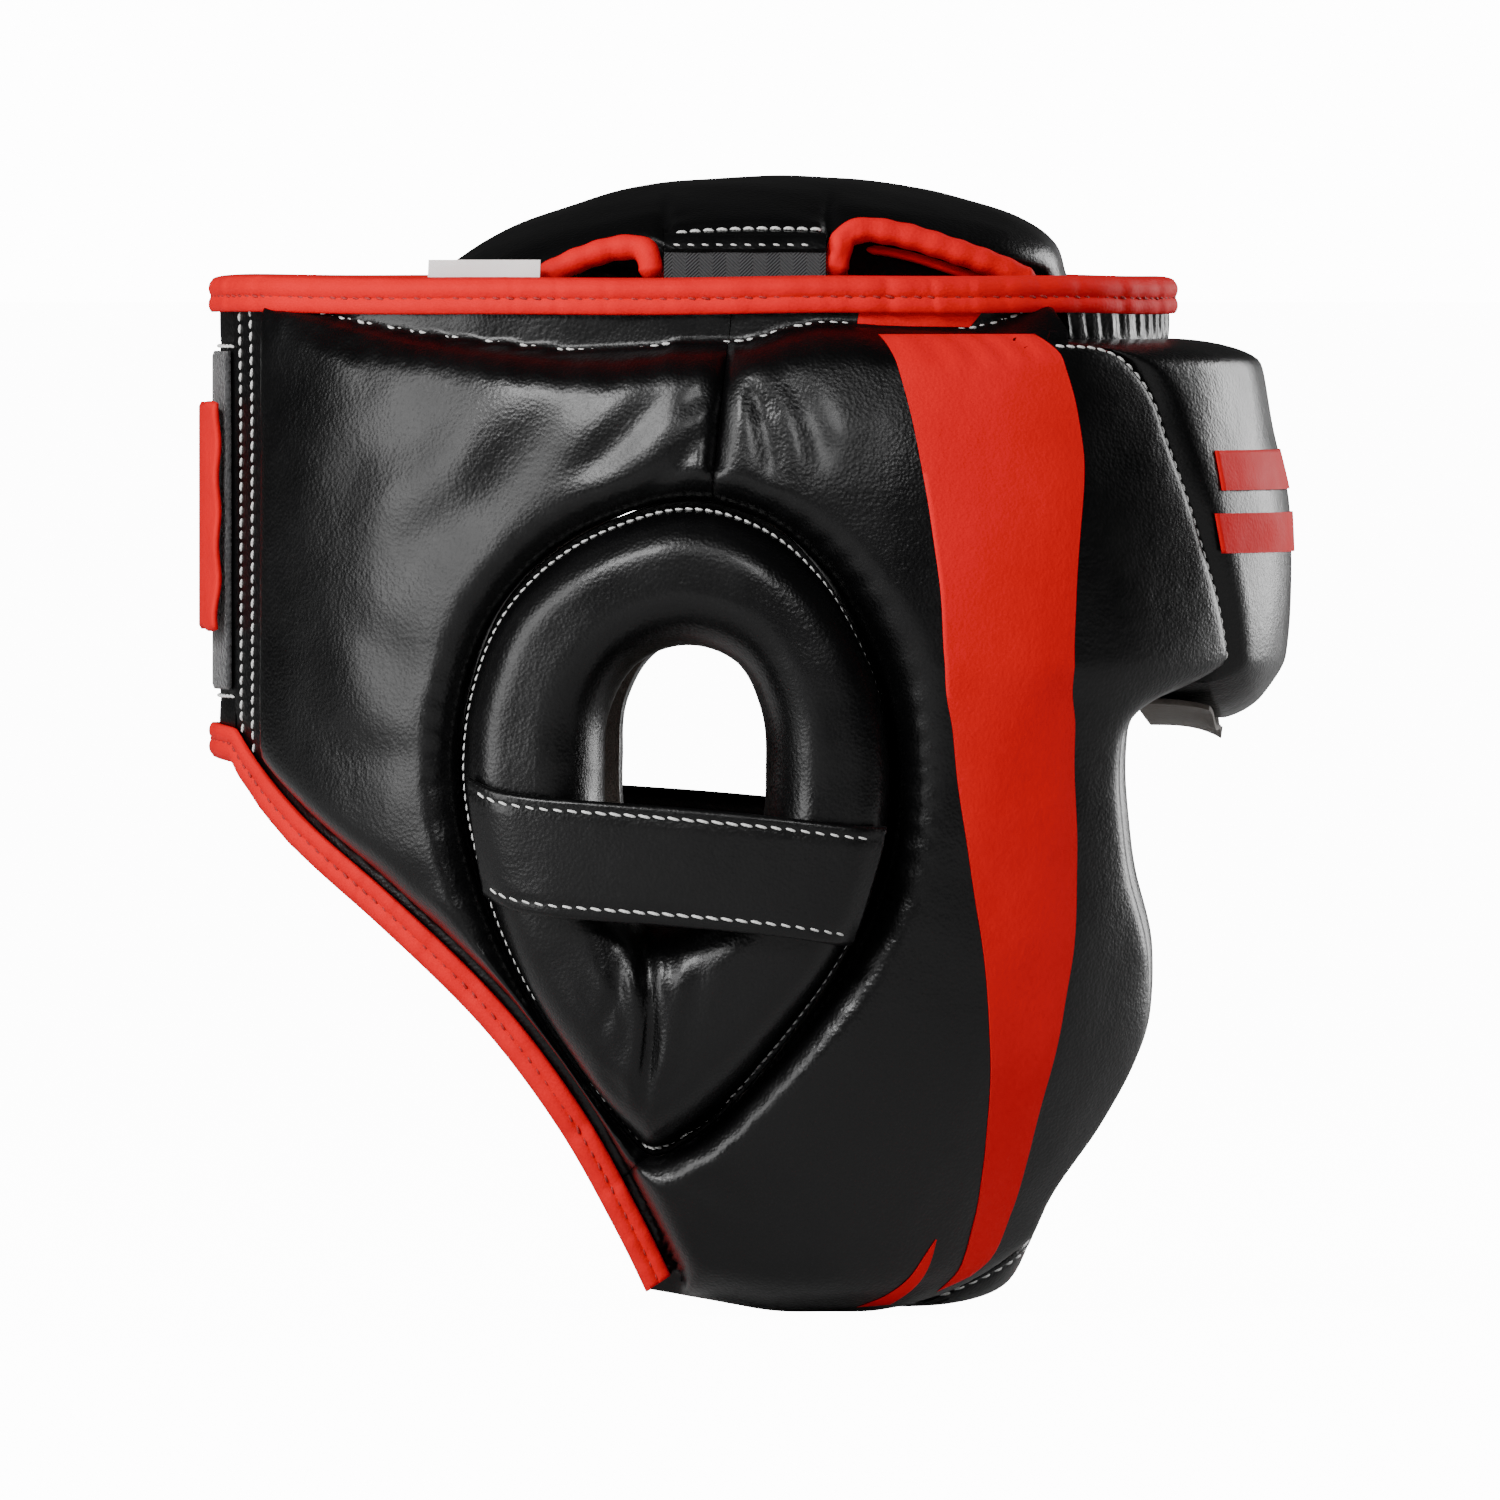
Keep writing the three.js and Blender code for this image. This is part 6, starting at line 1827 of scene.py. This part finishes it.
# ---------------------------------------------------------------- studio
@dataclass
class Studio:
    """A pale floor, soft boxes, an even white surround and a long lens at the wearer's right side."""

    target: tuple[float, float, float] = (0.001, 0.0, 0.1332)
    distance: float = 8.0
    azimuth: float = 1.3
    elevation: float = 1.0
    frame_width: float = 0.36

    def build(self) -> None:
        """Builds the camera, the lights, the surround and the floor."""
        az, el = math.radians(self.azimuth), math.radians(self.elevation)
        away = Vector((math.sin(az) * math.cos(el), -math.cos(az) * math.cos(el), math.sin(el)))
        data = bpy.data.cameras.new("camera")
        data.sensor_width = 36.0
        data.lens = 36.0 * self.distance / self.frame_width
        data.clip_end = 200
        camera = bpy.data.objects.new("camera", data)
        camera.location = Vector(self.target) + away * self.distance
        camera.rotation_euler = (-away).to_track_quat("-Z", "Y").to_euler()
        bpy.context.scene.collection.objects.link(camera)
        bpy.context.scene.camera = camera
        for name, place, size, power in (
            ("key_box", (-1.1, -1.8, 1.7), (0.8, 0.6), 60.0),
            ("rear_side_box", (-1.6, -1.0, 0.6), (0.9, 1.3), 30.0),
            ("brow_box", (1.35, 1.05, 0.45), (0.8, 1.2), 34.0),
            ("fill_box", (0.6, -2.6, 1.6), (0.5, 0.5), 24.0),
        ):
            light = bpy.data.lights.new(name, "AREA")
            light.shape = "RECTANGLE"
            light.size, light.size_y = size
            light.energy = power
            lamp = bpy.data.objects.new(name, light)
            lamp.location = place
            aim = Vector(self.target) - Vector(place)
            lamp.rotation_euler = aim.to_track_quat("-Z", "Y").to_euler()
            bpy.context.scene.collection.objects.link(lamp)
        self.surround()
        self.floor()

    @staticmethod
    def surround() -> None:
        """A white backdrop to the eye, and a dimmer one to the object."""
        world = bpy.data.worlds.new("surround")
        bpy.context.scene.world = world
        world.use_nodes = True
        tree = world.node_tree
        seen = tree.nodes.new("ShaderNodeBackground")
        seen.inputs["Color"].default_value = (1, 1, 1, 1)
        seen.inputs["Strength"].default_value = 14.0
        lit = tree.nodes["Background"]
        lit.inputs["Color"].default_value = (1, 1, 1, 1)
        lit.inputs["Strength"].default_value = 0.04
        path = tree.nodes.new("ShaderNodeLightPath")
        mix = tree.nodes.new("ShaderNodeMixShader")
        tree.links.new(path.outputs["Is Camera Ray"], mix.inputs[0])
        tree.links.new(lit.outputs[0], mix.inputs[1])
        tree.links.new(seen.outputs[0], mix.inputs[2])
        tree.links.new(mix.outputs[0], tree.nodes["World Output"].inputs[0])

    @staticmethod
    def floor() -> None:
        """A wide pale disc just under the object."""
        corners = 64
        a = np.linspace(0, 2 * np.pi, corners, endpoint=False)
        rings = np.array([0.001, 300, 3000, 60000.0])
        level = np.full((len(rings), corners), -0.4)
        points = np.stack([rings[:, None] * np.cos(a), rings[:, None] * np.sin(a), level], -1)
        first = np.arange(len(rings) - 1)[:, None] * corners
        after = first + corners
        k = np.arange(corners)[None]
        on = (k + 1) % corners
        quads = np.stack([first + k, after + k, after + on, first + on], -1).reshape(-1, 4)
        disc = make_object("floor", points, quads)
        n = Nodes("floor_finish")
        n.shade(Base_Color=n.blend(n.noise(3, 2), (0.55, 0.55, 0.55), (0.6, 0.6, 0.6)))
        n.shade(Roughness=0.85, Specular_IOR_Level=0.2)
        seen = n.add("ShaderNodeLightPath").outputs["Is Camera Ray"]
        n.shade(Emission_Color=(1, 1, 1, 1), Emission_Strength=n.math("MULTIPLY", seen, 13.0))
        disc.data.materials.append(n.material)


def main() -> None:
    """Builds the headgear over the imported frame, in order."""
    logging.basicConfig(level=logging.INFO, format="%(message)s")
    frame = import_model()
    log.info("frame with %d nodes", len(frame["nodes"]))
    Studio().build()
    wardrobe = Wardrobe()
    plan = SidePlan(HeadForm())
    for assembly in (SidePads, EarRings, Forehead, Bindings, Crown, RearClosure, ChinStrap, SizeLabel):
        assembly(plan).build(wardrobe)
        log.info("built %s", assembly.__name__)


if __name__ == "__main__":
    main()
